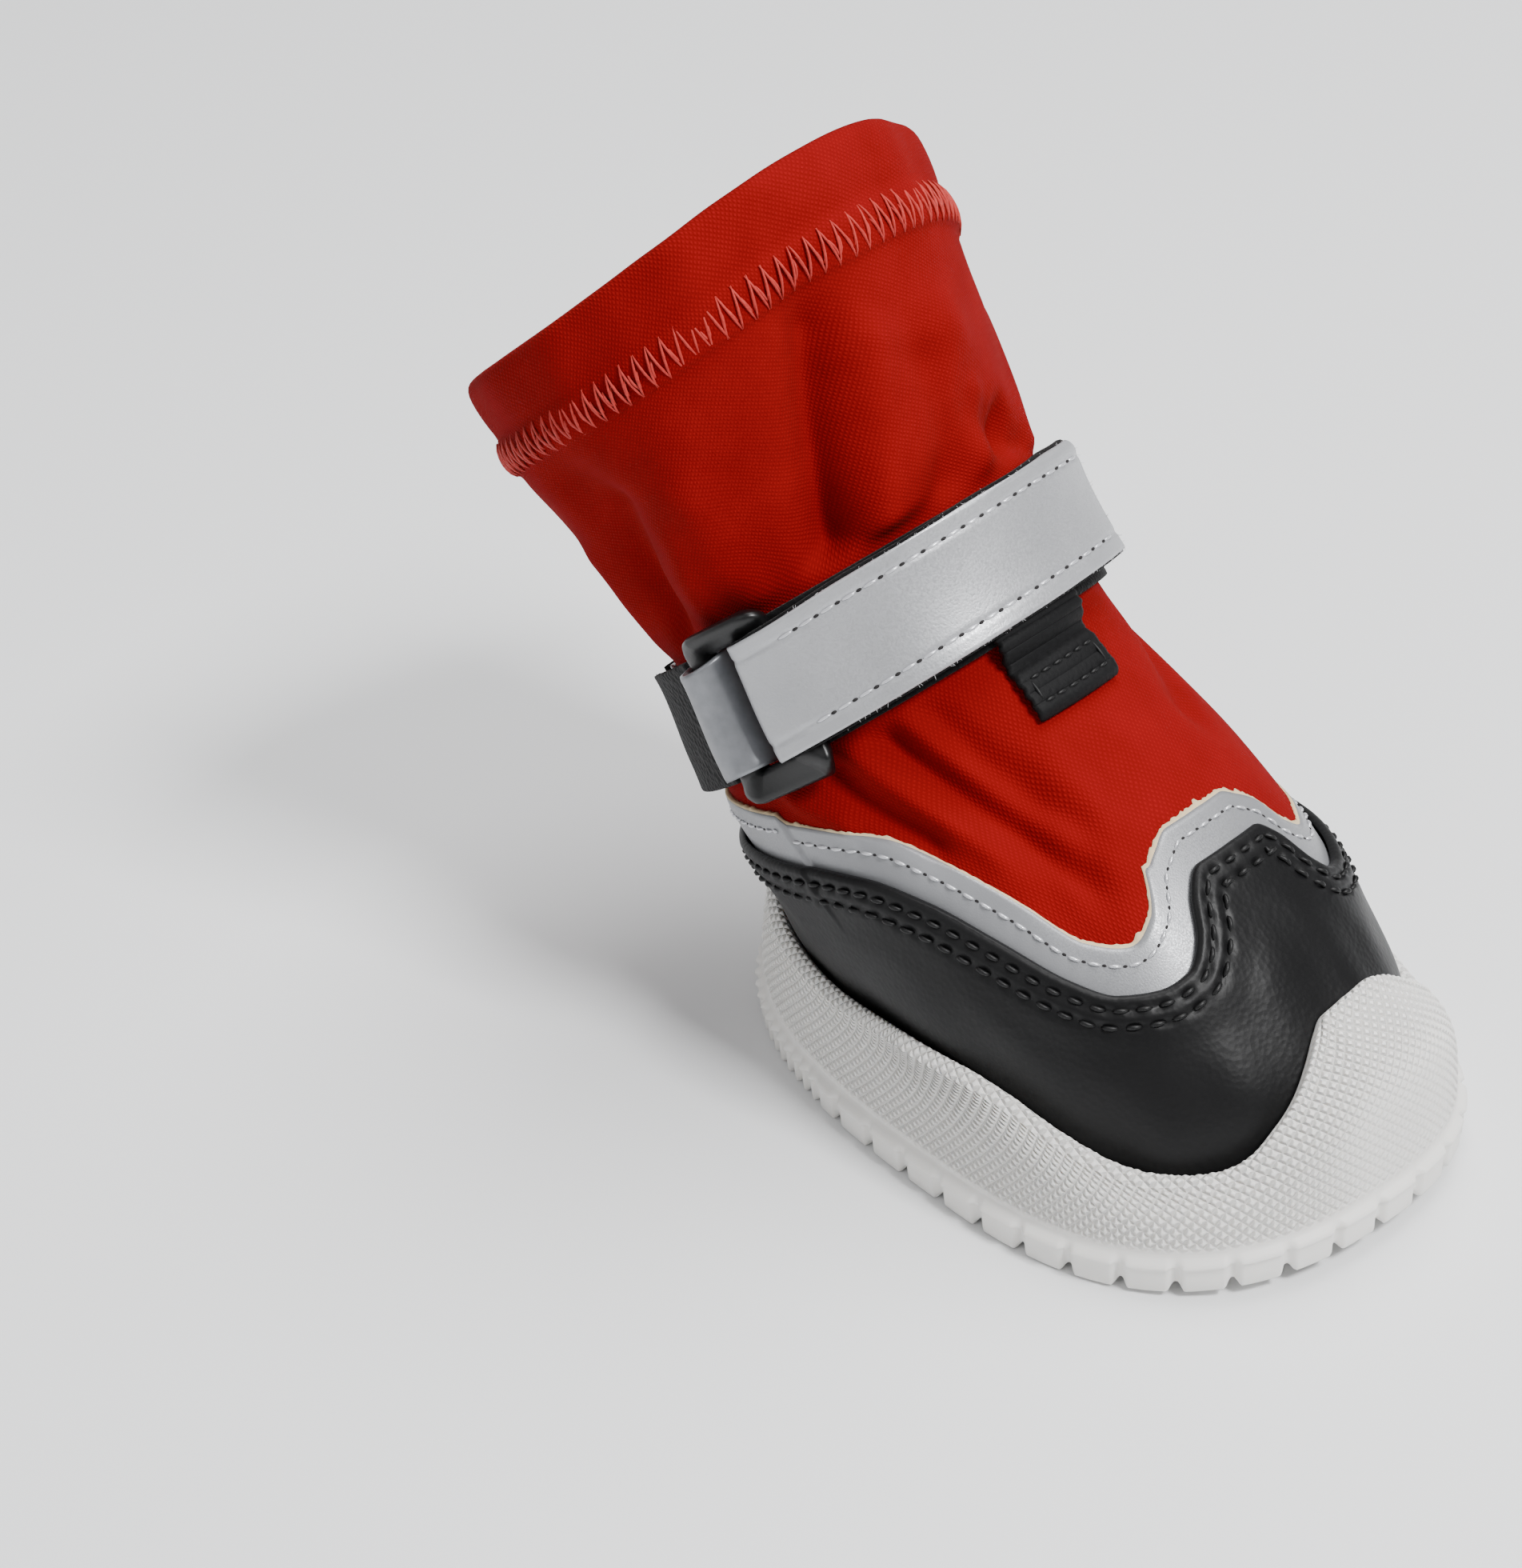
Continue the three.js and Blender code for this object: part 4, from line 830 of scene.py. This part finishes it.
# Moulded rubber: warm white, satin, with a little light inside, a faint mould texture and
# a few grey specks. The knurl's grooves are drawn once more in the bump, sharper than the
# mesh can carry them.
mould_scale, speck_scale, speck_from, speck_full = 0.9, 0.42, 0.78, 0.84
pad_top, groove_bump = 0.3, 0.0011
rubber, tree, shader = new_finish("warm_white_rubber", "#E6E4E0", {
    "Roughness": 0.5, "Specular IOR Level": 0.45, "Subsurface Weight": 0.12,
    "Subsurface Radius": (0.0012, 0.001, 0.0008), "Subsurface Scale": 1.0})
place = add_node(tree, "ShaderNodeTexCoord").outputs["Object"]
mould = add_node(tree, "ShaderNodeTexNoise", {"Scale": mould_scale * per_mm, "Detail": 3.0},
                 {"Vector": place})
specks = add_node(tree, "ShaderNodeTexNoise", {"Scale": speck_scale * per_mm, "Detail": 1.0},
                  {"Vector": place})
speck_mask = add_node(tree, "ShaderNodeMapRange", {
    "From Min": speck_from, "From Max": speck_full, "To Min": 0.0, "To Max": 0.4},
    {"Value": specks.outputs["Fac"]})
dress(tree, shader, speck_mask.outputs[0], ("#E8E6E2", "#A9A39A"))
fine_bump = add_node(tree, "ShaderNodeBump", {"Strength": 0.25, "Distance": 0.00005},
                     {"Height": mould.outputs["Fac"]})
cells = add_node(tree, "ShaderNodeSeparateXYZ", links={
    0: add_node(tree, "ShaderNodeTexCoord").outputs["UV"]})
grooves = []
for kind in ("ADD", "SUBTRACT"):
    phase = add_node(tree, "ShaderNodeMath", {"operation": kind},
                     {0: cells.outputs[0], 1: cells.outputs[1]})
    grooves.append(add_node(tree, "ShaderNodeMath", {"operation": "PINGPONG", 1: 0.5},
                            {0: phase.outputs[0]}).outputs[0])
pad = add_node(tree, "ShaderNodeMath", {"operation": "MINIMUM"}, {0: grooves[0], 1: grooves[1]})
pad = add_node(tree, "ShaderNodeMath", {"operation": "MINIMUM", 1: pad_top},
               {0: pad.outputs[0]})
knurl_here = add_node(tree, "ShaderNodeAttribute", {"attribute_name": "knurl"})
shown = add_node(tree, "ShaderNodeMath", {"operation": "MULTIPLY"},
                 {0: pad.outputs[0], 1: knurl_here.outputs["Fac"]})
knurl_bump = add_node(tree, "ShaderNodeBump", {"Strength": 1.0, "Distance": groove_bump},
                      {"Height": shown.outputs[0], "Normal": fine_bump.outputs["Normal"]})
tree.links.new(knurl_bump.outputs["Normal"], shader.inputs["Normal"])
faces = capped_faces(len(rows), cup_columns)
cell_u = np.arange(cup_columns + 1) * diamonds / cup_columns
cell_v = np.zeros((len(rows), cup_columns + 1))
first = len(under_side) + len(band_rows)
cell_v[first:first + len(up_wall), :-1] = up_wall / knurl_pitch
cell_v[:, -1] = cell_v[:, 0]
knurl_mark = np.zeros((len(rows), cup_columns))
knurl_mark[first:first + len(up_wall)] = fade * ends
caps = np.zeros((2 * cup_columns, 2))
cup = lay_mesh("rubber_cup", rows, faces, rubber, np.vstack([grid_uv(cell_u, cell_v), caps]),
               {"knurl": knurl_mark})
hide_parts("outsole")

# The tread: the underside of the same moulding, a shallow relief of edge lugs, chevrons
# and slanted pads, with a dimple and a bare ring.
# corners of each pad, as shares of half the sole's length and width
tread_pads = [
    [(-0.81, 0.36), (-0.66, 0.04), (-0.44, 0.04), (-0.57, 0.38)],
    [(-0.66, 0.04), (-0.83, -0.28), (-0.62, -0.24), (-0.44, 0.04)],
    [(-0.45, 0.38), (-0.34, 0.08), (-0.13, 0.08), (-0.24, 0.39)],
    [(-0.34, 0.08), (-0.49, -0.20), (-0.28, -0.23), (-0.13, 0.08)],
    [(-0.11, 0.12), (-0.24, -0.38), (-0.02, -0.41), (0.17, 0.12)],
    [(-0.17, 0.53), (-0.05, 0.20), (0.17, 0.20), (0.02, 0.56)],
    [(0.11, 0.54), (0.25, 0.04), (0.47, 0.04), (0.28, 0.57)],
    [(0.25, 0.04), (0.01, -0.45), (0.22, -0.46), (0.47, 0.04)],
    [(0.38, 0.49), (0.48, 0.11), (0.56, 0.08), (0.59, 0.50)],
    [(0.49, -0.02), (0.32, -0.48), (0.52, -0.43), (0.55, 0.00)],
    [(0.65, 0.44), (0.64, 0.07), (0.73, 0.07), (0.77, 0.37)],
    [(0.63, -0.01), (0.61, -0.44), (0.75, -0.34), (0.72, -0.02)],
]
edge_lug_depth, tread_round, toe_patch_from = 12.0, 0.32, 34.0
dimple_at, dimple_radius = (14.5, 1.2), 2.8
ring_at, ring_radius = (-16.5, 18.6), 3.4
tread_columns, tread_rings = 660, 78


def pad_height(x, y, corners):
    """Signed distance into a convex pad, positive inside: the least over its sides."""
    corners = np.array(corners) * [sole_length / 2, sole_width / 2]
    nxt = np.roll(corners, -1, 0)
    area = (corners[:, 0] * nxt[:, 1] - nxt[:, 0] * corners[:, 1]).sum()
    inside = np.full(x.shape, 1e9)
    for (ax, ay), (bx, by) in zip(corners, nxt):
        length = np.hypot(bx - ax, by - ay)
        across = (bx - ax) * (y - ay) - (by - ay) * (x - ax)
        inside = np.minimum(inside, np.sign(area) * across / length)
    return inside


tread_angles, _ = even_angles(lambda a: sole_outline(a, 0), tread_columns)
tread_run = np.arange(tread_columns) * welt_girth / tread_columns
draw = np.linspace(0, 1, tread_rings + 1)[1:, None]
edge_reach = np.interp(tread_run, welt_run, reach) - 0.9
rim_xy = sole_outline(tread_angles, 0)
rim_xy = rim_xy + outward_from(rim_xy) * edge_reach[:, None]
x, y = rim_xy[:, 0] * draw, rim_xy[:, 1] * draw
from_edge = (1 - draw) * np.linalg.norm(rim_xy, axis=-1)
turn = bumper_turn(tread_angles)
depth = edge_lug_depth * table_at(lips, turn)[..., 2]
wide = lug_pitch * 2
lug_gap = np.abs((tread_run / wide + 0.5) % 1 - 0.5) * wide
in_lug = np.minimum(np.minimum(lug_gap - 0.8, depth - from_edge), from_edge + 2)
sipe_gap = np.abs((tread_run / wide) % 1 - 0.5) * wide
sipe = np.maximum(sipe_gap - 0.35, from_edge - depth * 0.62)
high = smooth(-tread_round, tread_round, in_lug) * smooth(-0.25, 0.35, sipe)
ribs = (smooth(ribs_heel, ribs_heel + 3, x) * (1 - smooth(ribs_ball, ribs_ball + 2, x))
        * (np.abs(y) > 6) * (y < 0))
comb = 0.5 + 0.5 * np.cos(2 * np.pi * tread_run / rib_pitch)
high = high * (1 - 0.55 * ribs * (1 - comb))
for pad in tread_pads:
    high = np.maximum(high, smooth(-tread_round, tread_round, pad_height(x, y, pad)))
toe_patch = smooth(0, 0.6, x - toe_patch_from) * (np.abs(y) < 9.5)
toe_ribs = 0.35 + 0.65 * smooth(-0.2, 0.5, np.sin((x + 0.7 * y) * 3.6))
high = np.where(toe_patch > 0.02, toe_patch * toe_ribs, high)
away = np.hypot(x - dimple_at[0], y - dimple_at[1]) / dimple_radius
high = high - 0.65 * np.sqrt(np.clip(1 - away ** 2, 0, 1))
ring_gap = np.abs(np.hypot(x - ring_at[0], y - ring_at[1]) - ring_radius)
high = high - 0.25 * np.exp(-(ring_gap / 0.3) ** 2)
z = groove_depth * (1 - high)
rim_z = np.interp(tread_run, welt_run, web) + 0.05
z = z + (np.maximum(rim_z, z) - z) * (1 - smooth(0.3, 1.6, from_edge))
top = np.stack([x, y, np.full(x.shape, 2.4)], -1)[[-1, 20]]
tread_points = np.vstack([np.stack([x, y, z], -1), top])
tread = lay_mesh("tread_relief", curl(tread_points),
                 capped_faces(len(tread_points), tread_columns), rubber)

# The ankle strap: grey glass-bead tape sewn on black loop tape by two rows of thread. It
# goes round the ankle, through the slot ring and back over itself.
strap_thickness, loop_thickness = 1.1, 0.9
ring_slot, ring_bar, ring_thickness, ring_corner = 4.4, 3.4, 2.2, 2.2
ring_angle, free_end_angle = -72.0, 40.0
free_end_lift, free_end_from = 1.2, 0.72
hook_length, hook_thickness, sewn_short, top_climb = 11.0, 1.3, 3.0, 1.3
tab_width, tab_drop, tab_thickness, tab_angle = 10.6, 7.0, 1.0, 3.7
strap_rows, strap_pitch = 5.35, 2.6
face_low, face_high, back_low, back_reach = 0.12, 0.46, -0.52, 0.22
ring_turns = np.linspace(-180, 180, 97)
ankle = bare_sleeve(strap_middle, ring_turns)
ankle_girth = np.linalg.norm(np.diff(ankle, axis=0), axis=1).sum()


def on_strap(run, across, out):
    """Point on the strap's course: run round the ankle from the ring, across from its
    middle line and out from the sleeve, all in mm."""
    run, across, out = np.broadcast_arrays(run, across, out)
    angle = ring_angle + run / ankle_girth * 360
    line = strap_line(angle)
    rate = np.linalg.norm(bare_sleeve(line + 0.05, angle)
                          - bare_sleeve(line - 0.05, angle), axis=-1) / 0.1
    return on_sleeve(line + across / rate, angle, out)


def on_strap_climbing(run, across, out):
    """The same, with the top layer (out past the ring's bar level) climbing up the sleeve
    in proportion to its run, to top_climb at the free end, and the tape drawn in by 8%
    where it passes the ring's slot."""
    climb = top_climb * np.clip(run / free_end, 0, 1) * smooth(1.7, 2.6, out)
    neck = 1 - 0.08 * np.exp(-((run - 1.2) / 1.6) ** 2) * (out < over_bar - 0.3)
    return on_strap(run, across * neck + climb, out)


def arc(centre, radius, start, end, count):
    """Points of an arc about a centre, from one angle to another in degrees."""
    a = np.radians(np.linspace(start, end, count))
    return np.stack([centre[0] + radius * np.cos(a), centre[1] + radius * np.sin(a)], -1)


def tape(path, section, place):
    """A tape along a path of (run, out) points: its closed section of (across, off) points
    is carried along, off being square to the path, and both ends are closed flat."""
    forward = unit(np.gradient(path, axis=0))
    square = np.stack([-forward[:, 1], forward[:, 0]], -1)
    spot = path[:, None] + square[:, None] * section[None, :, 1:]
    points = place(spot[..., 0], section[None, :, 0] + 0 * spot[..., 0], spot[..., 1])
    return points, capped_faces(*points.shape[:2])


def tape_section(half_width, low, high, count, relief=None):
    """Closed section of a tape: over its face from one edge to the other and back beneath,
    with its corners taken off."""
    v = np.linspace(-half_width, half_width, count)
    corner = 0.18
    face = np.full(count, high) if relief is None else high + relief(v)
    face[[0, -1]] -= corner * 0.6
    under = np.full(count, low)
    under[[0, -1]] += corner * 0.4
    section = np.vstack([np.column_stack([v, face]), np.column_stack([v[::-1], under])])
    return section[::-1]


bar_low = gap + strap_thickness + gap
bar_high = bar_low + ring_thickness
over_bar = bar_high + gap + strap_thickness / 2
slot_half = ring_slot / 2
bar_outer = slot_half + ring_bar
lower_level = gap + strap_thickness / 2
seat = slot_half - gap - strap_thickness / 2
sewn_end = ankle_girth - bar_outer - loop_thickness - gap - hook_length - sewn_short
top_level = gap * 3 + strap_thickness + tab_thickness + strap_thickness / 2
free_end = (free_end_angle - ring_angle) / 360 * ankle_girth
over = np.linspace(bar_outer + 0.5, free_end, 110)
share = np.clip((over - bar_outer - 6) / (free_end - bar_outer - 6), 0, 1)
settle = smooth(bar_outer - 1.0, bar_outer + 8.0, over)
top_path = np.column_stack([
    over, over_bar + (top_level - over_bar) * settle
    + free_end_lift * np.clip(share - free_end_from, 0, 1) / (1 - free_end_from)])
path = np.vstack([
    np.column_stack([np.linspace(sewn_end, seat + 1.2, 120), np.full(120, lower_level)]),
    arc((seat + 1, lower_level + 1), 1, 265, 180, 6), arc((seat + 1, over_bar - 1), 1, 180, 95, 6),
    np.column_stack([np.linspace(seat + 1.4, bar_outer, 8), np.full(8, over_bar)]), top_path])


def sewn_channels(v):
    """Face pulled down along both rows of stitches, and slightly crowned between."""
    return (-0.13 * np.exp(-((np.abs(v) - strap_rows) / 0.34) ** 2)
            + 0.10 * (1 - (v / (strap_width / 2)) ** 2))


strap_section = tape_section(strap_width / 2, face_low, face_high, 64, sewn_channels)
face_points, face_faces = tape(path, strap_section, on_strap_climbing)
# Strap tape: the same glass-bead tape on a heavier cloth, its grey painted lighter and
# brighter than the band's as painted sheen towards the lamp
strap_tape_painted_sheen = bead_tape("strap_glass_bead_tape_painted_sheen", "#BDBFC4", 0.45, 0.4, (3.6, 2.0), (0.09, 3.0),
                      ("#9B9C9F", "#B9BABD"), (0.28, 0.52), (0.35, 0.08))
strap_face = lay_mesh("strap_face", face_points, face_faces, strap_tape_painted_sheen)
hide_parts("strap")

# Loop tape: brushed black nylon loops, which give no highlight
loop_tape = grained("black_loop_tape", "#0A0A0B", {
    "Roughness": 0.95, "Specular IOR Level": 0.15, "Sheen Weight": 0.05}, 2.2, 4.0,
    ("#040404", "#141415"), (0.9, 0.3))
back_section = tape_section(strap_width / 2 + back_reach, back_low, face_low, 40)
back_points, back_faces = tape(path, back_section, on_strap_climbing)
strap_back = lay_mesh("strap_backing", back_points, back_faces, loop_tape)


def strap_stitches(across, *dash):
    """Dashes along the face of the strap's top layer at a distance across."""
    lay = top_path[:, 1] + face_high - 0.06
    line = on_strap_climbing(top_path[:, 0], across, lay)
    lifted = on_strap_climbing(top_path[:, 0], across, lay + 1)
    return dashes(np.hstack([line, lifted - line]), *dash)


# silver dashes, then the dark painted shade of the needle holes between them
for name, length, rise, sink, first, radius, finish in (
        ("strap_stitches", 1.9, 0.10, 0.1, 0.5, 0.19, silver),
        ("strap_needle_holes", 0.7, -0.02, 0.12, 2.38, 0.2, hole_shade)):
    rows = [strap_stitches(side * strap_rows, strap_pitch, length, rise, sink, first)
            for side in (-1, 1)]
    paths, ups = (np.vstack([row[k] for row in rows]) for k in (0, 1))
    piece = lay_mesh(name, *threads(paths, ups, radius), finish)

# Cut fibres at the free end and along the strap's edges: loose ends of the tape's weave.
fibre_count = 420
rng = np.random.default_rng(29)
at_end = rng.uniform(0, 1, fibre_count) < 0.42
run = np.where(at_end, free_end - 0.1, rng.uniform(bar_outer, free_end, fibre_count))
across = np.where(at_end, rng.uniform(-7.4, 7.4, fibre_count),
                  np.sign(rng.uniform(-1, 1.0, fibre_count)) * 7.45)
out = np.interp(run, top_path[:, 0], top_path[:, 1]) + rng.uniform(-0.35, 0.4, fibre_count)
reach = np.where(at_end, rng.uniform(0.2, 0.8, fibre_count),
                 rng.uniform(0.1, 0.35, fibre_count))
t = np.linspace(0, 1, 4)
sway = rng.normal(0, 0.3, (fibre_count, 3)) * np.where(at_end, 1, 0.5)[:, None]
run_out = np.where(at_end, reach, 0)[:, None]
edge_out = (np.where(at_end, 0, np.sign(across)) * reach * 0.6)[:, None]
paths = on_strap_climbing(
    run[:, None] + t * run_out + sway[:, :1] * t ** 2,
    across[:, None] + t * edge_out + sway[:, 1:2] * t ** 2,
    out[:, None] + sway[:, 2:] * t ** 2 * 0.8)
ups = np.broadcast_to([0.3, 0.2, 0.93], paths.shape)
# Tape fibre: pale cut polyester ends, dull
fibre_white = new_finish("cut_tape_fibre", "#B9B9BB", {"Roughness": 0.7})[0]
fibres_piece = lay_mesh("strap_cut_fibres", *threads(paths, ups, 0.035, 3), fibre_white)


# The slot ring: black moulded plastic with rounded bars, lying on the ankle; the strap
# turns round its front bar and the anchor loop holds its rear bar.
def rounded_frame(half_run, half_across, corner):
    """Rounded rectangle with ten points to each corner and six along each long side."""
    x, y = half_run - corner, half_across - corner
    side = np.linspace(-y, y, 8)[1:-1]
    return np.vstack([
        arc((x, -y), corner, -90, 0, 10), np.column_stack([np.full(6, half_run), side]),
        arc((x, y), corner, 0, 90, 10), arc((-x, y), corner, 90, 180, 10),
        np.column_stack([np.full(6, -half_run), side[::-1]]), arc((-x, -y), corner, 180, 270, 10)])


slot_across = strap_width / 2 + gap
slot_close = 0.75
outer_frame = rounded_frame(bar_outer, slot_across + ring_bar * 0.75, ring_corner)
slot_frame = rounded_frame(slot_half, slot_across - slot_close, 0.5)
a = np.radians(np.arange(0, 360, 22.5))
share = 0.5 - 0.5 * np.sign(np.cos(a)) * np.abs(np.cos(a)) ** 0.7
rise = ((bar_low + bar_high) / 2
        + ring_thickness / 2 * np.sign(np.sin(a)) * np.abs(np.sin(a)) ** 0.7)
frame_line = slot_frame[None] + (outer_frame - slot_frame)[None] * share[:, None, None]
points = on_strap(frame_line[..., 0], frame_line[..., 1], rise[:, None])
# Acetal: moulded black plastic, smooth with a faint texture, so its bars catch soft lights
plastic = grained("black_moulded_plastic", "#09090A", {
    "Roughness": 0.36, "Specular IOR Level": 0.4}, 2.5, 2.0, bump=(0.2, 0.05))
slot_ring = lay_mesh("slot_ring", points,
                     grid_faces(len(a), len(slot_frame), close_rows=True), plastic)
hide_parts("strap_ring")

# The anchor loop: a short end of the same grey tape, bent round the ring's rear bar and
# sewn down under the hook patch.
loop_width = 14.0
seat = -(slot_half - gap - loop_thickness / 2)
rear = -(bar_outer + gap + loop_thickness / 2)
middle = (seat + rear) / 2
a = np.radians(np.linspace(0, 180, 26))
bow = np.column_stack([
    middle + (seat - middle) * np.sign(np.cos(a)) * np.abs(np.cos(a)) ** 0.95,
    lower_level + (bar_high + gap + 1.0 - lower_level) * np.abs(np.sin(a)) ** 0.8])
tail = np.column_stack([np.linspace(rear - hook_length + 0.5, seat - 1.2, 16),
                        np.full(16, gap + 0.45)])
path = np.vstack([tail, bow[:-1] + [0, 0.35]])
points, faces = tape(path, tape_section(loop_width / 2 - 0.1, -0.4, 0.4, 30), on_strap)
# Satin tape: woven grey tape with a metallic coat, smoother than the bead tape, its grey
# painted darker than the strap's as painted shade on the loop's turn round the bar
shaded_satin = grained("grey_satin_tape_painted_shade", "#7E8084", {
    "Metallic": 0.5, "Roughness": 0.36, "Specular IOR Level": 0.6}, 0.7, 4.0,
    ("#6F7175", "#8C8E92"), (0.2, 0.06))
anchor = lay_mesh("anchor_loop_tape", points, faces, shaded_satin)
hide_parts("anchor_loop")

# The hook patch: stiff black hook tape behind the loop, its face a field of tiny hooks.
level = gap + loop_thickness + gap + hook_thickness / 2
start = -(bar_outer + gap + loop_thickness + gap)
path = np.column_stack([np.linspace(start, start - hook_length, 46), np.full(46, level)])
points, faces = tape(path, tape_section(strap_width / 2, -0.6, 0.25, 60), on_strap)
# Hook tape: moulded nylon hooks, matte as they scatter the light; cells of 0.7 mm, about
# their real spacing, roughen the ground between them
hook_cells = 1.5
hooks, tree, shader = new_finish("black_hook_tape", "#0B0B0C", {"Roughness": 0.85})
field = add_node(tree, "ShaderNodeTexVoronoi", {"Scale": hook_cells * per_mm},
                 {"Vector": add_node(tree, "ShaderNodeTexCoord").outputs["Object"]})
dress(tree, shader, height=field.outputs["Distance"], bump=(1.0, 0.4))
hook_base = lay_mesh("hook_tape", points, faces, hooks)
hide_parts("hook_patch")
hook_rng = np.random.default_rng(3)
hook_spacing = 0.62
run, across = np.meshgrid(np.arange(0.4, hook_length, hook_spacing),
                          np.arange(-7.1, 7.2, hook_spacing), indexing="ij")
run, across = run.ravel() + hook_rng.uniform(-0.12, 0.12, run.size), across.ravel()
t = np.linspace(0, 1, 5)
lean = hook_rng.uniform(-0.25, 0.25, (run.size, 2))
paths = on_strap(start - run[:, None] + lean[:, :1] * t,
                 across[:, None] + (lean[:, 1:] + 0.3) * t ** 2,
                 level - 0.25 + 0.62 * np.sin(t * 2.2))
ups = np.broadcast_to([0.9, 0.3, 0.2], paths.shape)
hook_pile = lay_mesh("hook_tape_pile", *threads(paths, ups, 0.11, 4), hooks)

# The keeper tab: a short fold of black grosgrain, ribbed across, box-stitched to the
# sleeve below the strap and running up between the strap's two layers.
rib_height, tab_ribs = 0.24, 1.0
middle = (tab_angle - ring_angle) / 360 * ankle_girth
low_level = gap + tab_thickness / 2 - 0.25
high_level = gap * 2 + strap_thickness + tab_thickness / 2
edge = -strap_width / 2
up = np.linspace(edge - tab_drop, edge + strap_width * 0.7, 190)
lift = low_level + (high_level - low_level) * smooth(edge - 2.8, edge - 0.6, up)
lift = lift + 0.45 * smooth(edge - tab_drop - 0.1, edge - tab_drop + 0.5, up) \
    * (1 - smooth(edge - tab_drop + 3.2, edge - tab_drop + 4.0, up))
rib = np.abs(np.sin(np.pi * (up - edge) / tab_ribs)) ** 0.5


def on_tab(up_sleeve, across, out):
    """Point of the tab, its selvedges scalloped by 0.1 mm where the ribs turn back."""
    selvedge = np.abs(across) > tab_width / 2 - 0.5
    scallop = 0.10 * np.sign(across) * selvedge * np.sin(up_sleeve * 5.9)
    return on_strap(middle + across + scallop, up_sleeve, out)


path = np.column_stack([up, lift]) + np.column_stack([0 * up, rib_height * (rib - 0.5)])
points, faces = tape(path, tape_section(tab_width / 2, -0.45, 0.35, 34), on_tab)
faces = [face[::-1] for face in faces]
# Grosgrain: black polyester ribbon with ribs across, whose yarns give a low sheen
grosgrain = grained("black_grosgrain", "#080809", {
    "Roughness": 0.65, "Specular IOR Level": 0.16}, 1.9, 3.0,
    ("#050506", "#121213"), (0.6, 0.15))
keeper = lay_mesh("grosgrain_keeper", points, faces, grosgrain)
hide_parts("keeper_tab")
box_side, box_low, box_high = 4.2, edge - tab_drop + 0.9, edge - tab_drop + 3.0
corners = np.array([(-box_side, box_low), (box_side, box_low), (box_side, box_high),
                    (-box_side, box_high), (-box_side, box_low)])
legs = []
for (v0, u0), (v1, u1) in zip(corners[:-1], corners[1:]):
    count = max(int(np.hypot(v1 - v0, u1 - u0) / 1.25), 1)
    for k in range(count):
        t = (k + np.linspace(0.08, 0.92, 6)) / count
        bow = 0.14 * np.sin(np.pi * np.linspace(0, 1, 6))
        legs.append(on_strap(middle + v0 + (v1 - v0) * t, u0 + (u1 - u0) * t,
                             low_level + 0.45 + 0.35 + bow))
paths = np.array(legs)
ups = np.broadcast_to(sleeve_normal(np.array(strap_middle), np.array(tab_angle)), paths.shape)
tab_stitches = lay_mesh("keeper_stitches", *threads(paths, ups, 0.2), black_thread)

# The studio: a pale glossy table that runs out of view, wide soft lamps and the camera at
# the place the picture was taken from.
bpy.ops.mesh.primitive_plane_add(size=6.0, location=(0, 0, -0.00005))
floor = bpy.context.object
floor.name = "pale_floor"
# Table: a pale glossy board, which gives the faint reflection under the sole
table_top = new_finish("pale_table", "#EDEEEF", {
    "Roughness": 0.3, "Specular IOR Level": 0.3})[0]
floor.data.materials.append(table_top)
world = bpy.data.worlds.new("studio")
bpy.context.scene.world = world
world.use_nodes = True
world.node_tree.nodes["Background"].inputs["Color"].default_value = linear("#EAEAEB")
world.node_tree.nodes["Background"].inputs["Strength"].default_value = 0.5
# each lamp's place in metres, width in metres and power in watts
for name, place, size, power in (
        ("key_lamp", (0.55, 0.10, 0.75), 0.22, 11.5),
        ("fill_lamp", (-0.10, -0.85, 0.60), 0.9, 2.0),
        ("top_lamp", (-0.15, 0.35, 1.10), 0.7, 12.5)):
    data = bpy.data.lights.new(name, "AREA")
    data.size, data.energy = size, power
    lamp = bpy.data.objects.new(name, data)
    lamp.location = place
    aim = np.array([0.0, 0.0, 0.04]) - np.array(place)
    lamp.rotation_mode = "QUATERNION"
    lamp.rotation_quaternion = Vector(aim).to_track_quat("-Z", "Y")
    bpy.context.scene.collection.objects.link(lamp)

azimuth, elevation, roll = np.radians([53.3, 35.0, -4.6])
distance, pixels_per_mm, sensor = 450.0, 11.18, 24.0
picture = np.array([1903.0, 1960.0])
origin_pixel = np.array([1377.0, 1322.0])
back = np.array([np.sin(azimuth) * np.cos(elevation), -np.cos(azimuth) * np.cos(elevation),
                 np.sin(elevation)])
level_right = np.array([np.cos(azimuth), np.sin(azimuth), 0.0])
level_up = np.cross(back, level_right)
right = np.cos(roll) * level_right + np.sin(roll) * level_up
up = -np.sin(roll) * level_right + np.cos(roll) * level_up
offset = (origin_pixel - picture / 2) / pixels_per_mm
eye = back * distance - right * offset[0] + up * offset[1]
camera_data = bpy.data.cameras.new("camera")
camera_data.sensor_fit = "VERTICAL"
camera_data.sensor_height, camera_data.sensor_width = sensor, sensor
camera_data.lens = pixels_per_mm * distance / picture[1] * sensor
camera_data.clip_start, camera_data.clip_end = 0.01, 20.0
camera = bpy.data.objects.new("camera", camera_data)
camera.matrix_world = Matrix([[*(right[k], up[k], back[k]), eye[k] / 1000] for k in range(3)]
                             + [[0, 0, 0, 1]])
bpy.context.scene.collection.objects.link(camera)
bpy.context.scene.camera = camera
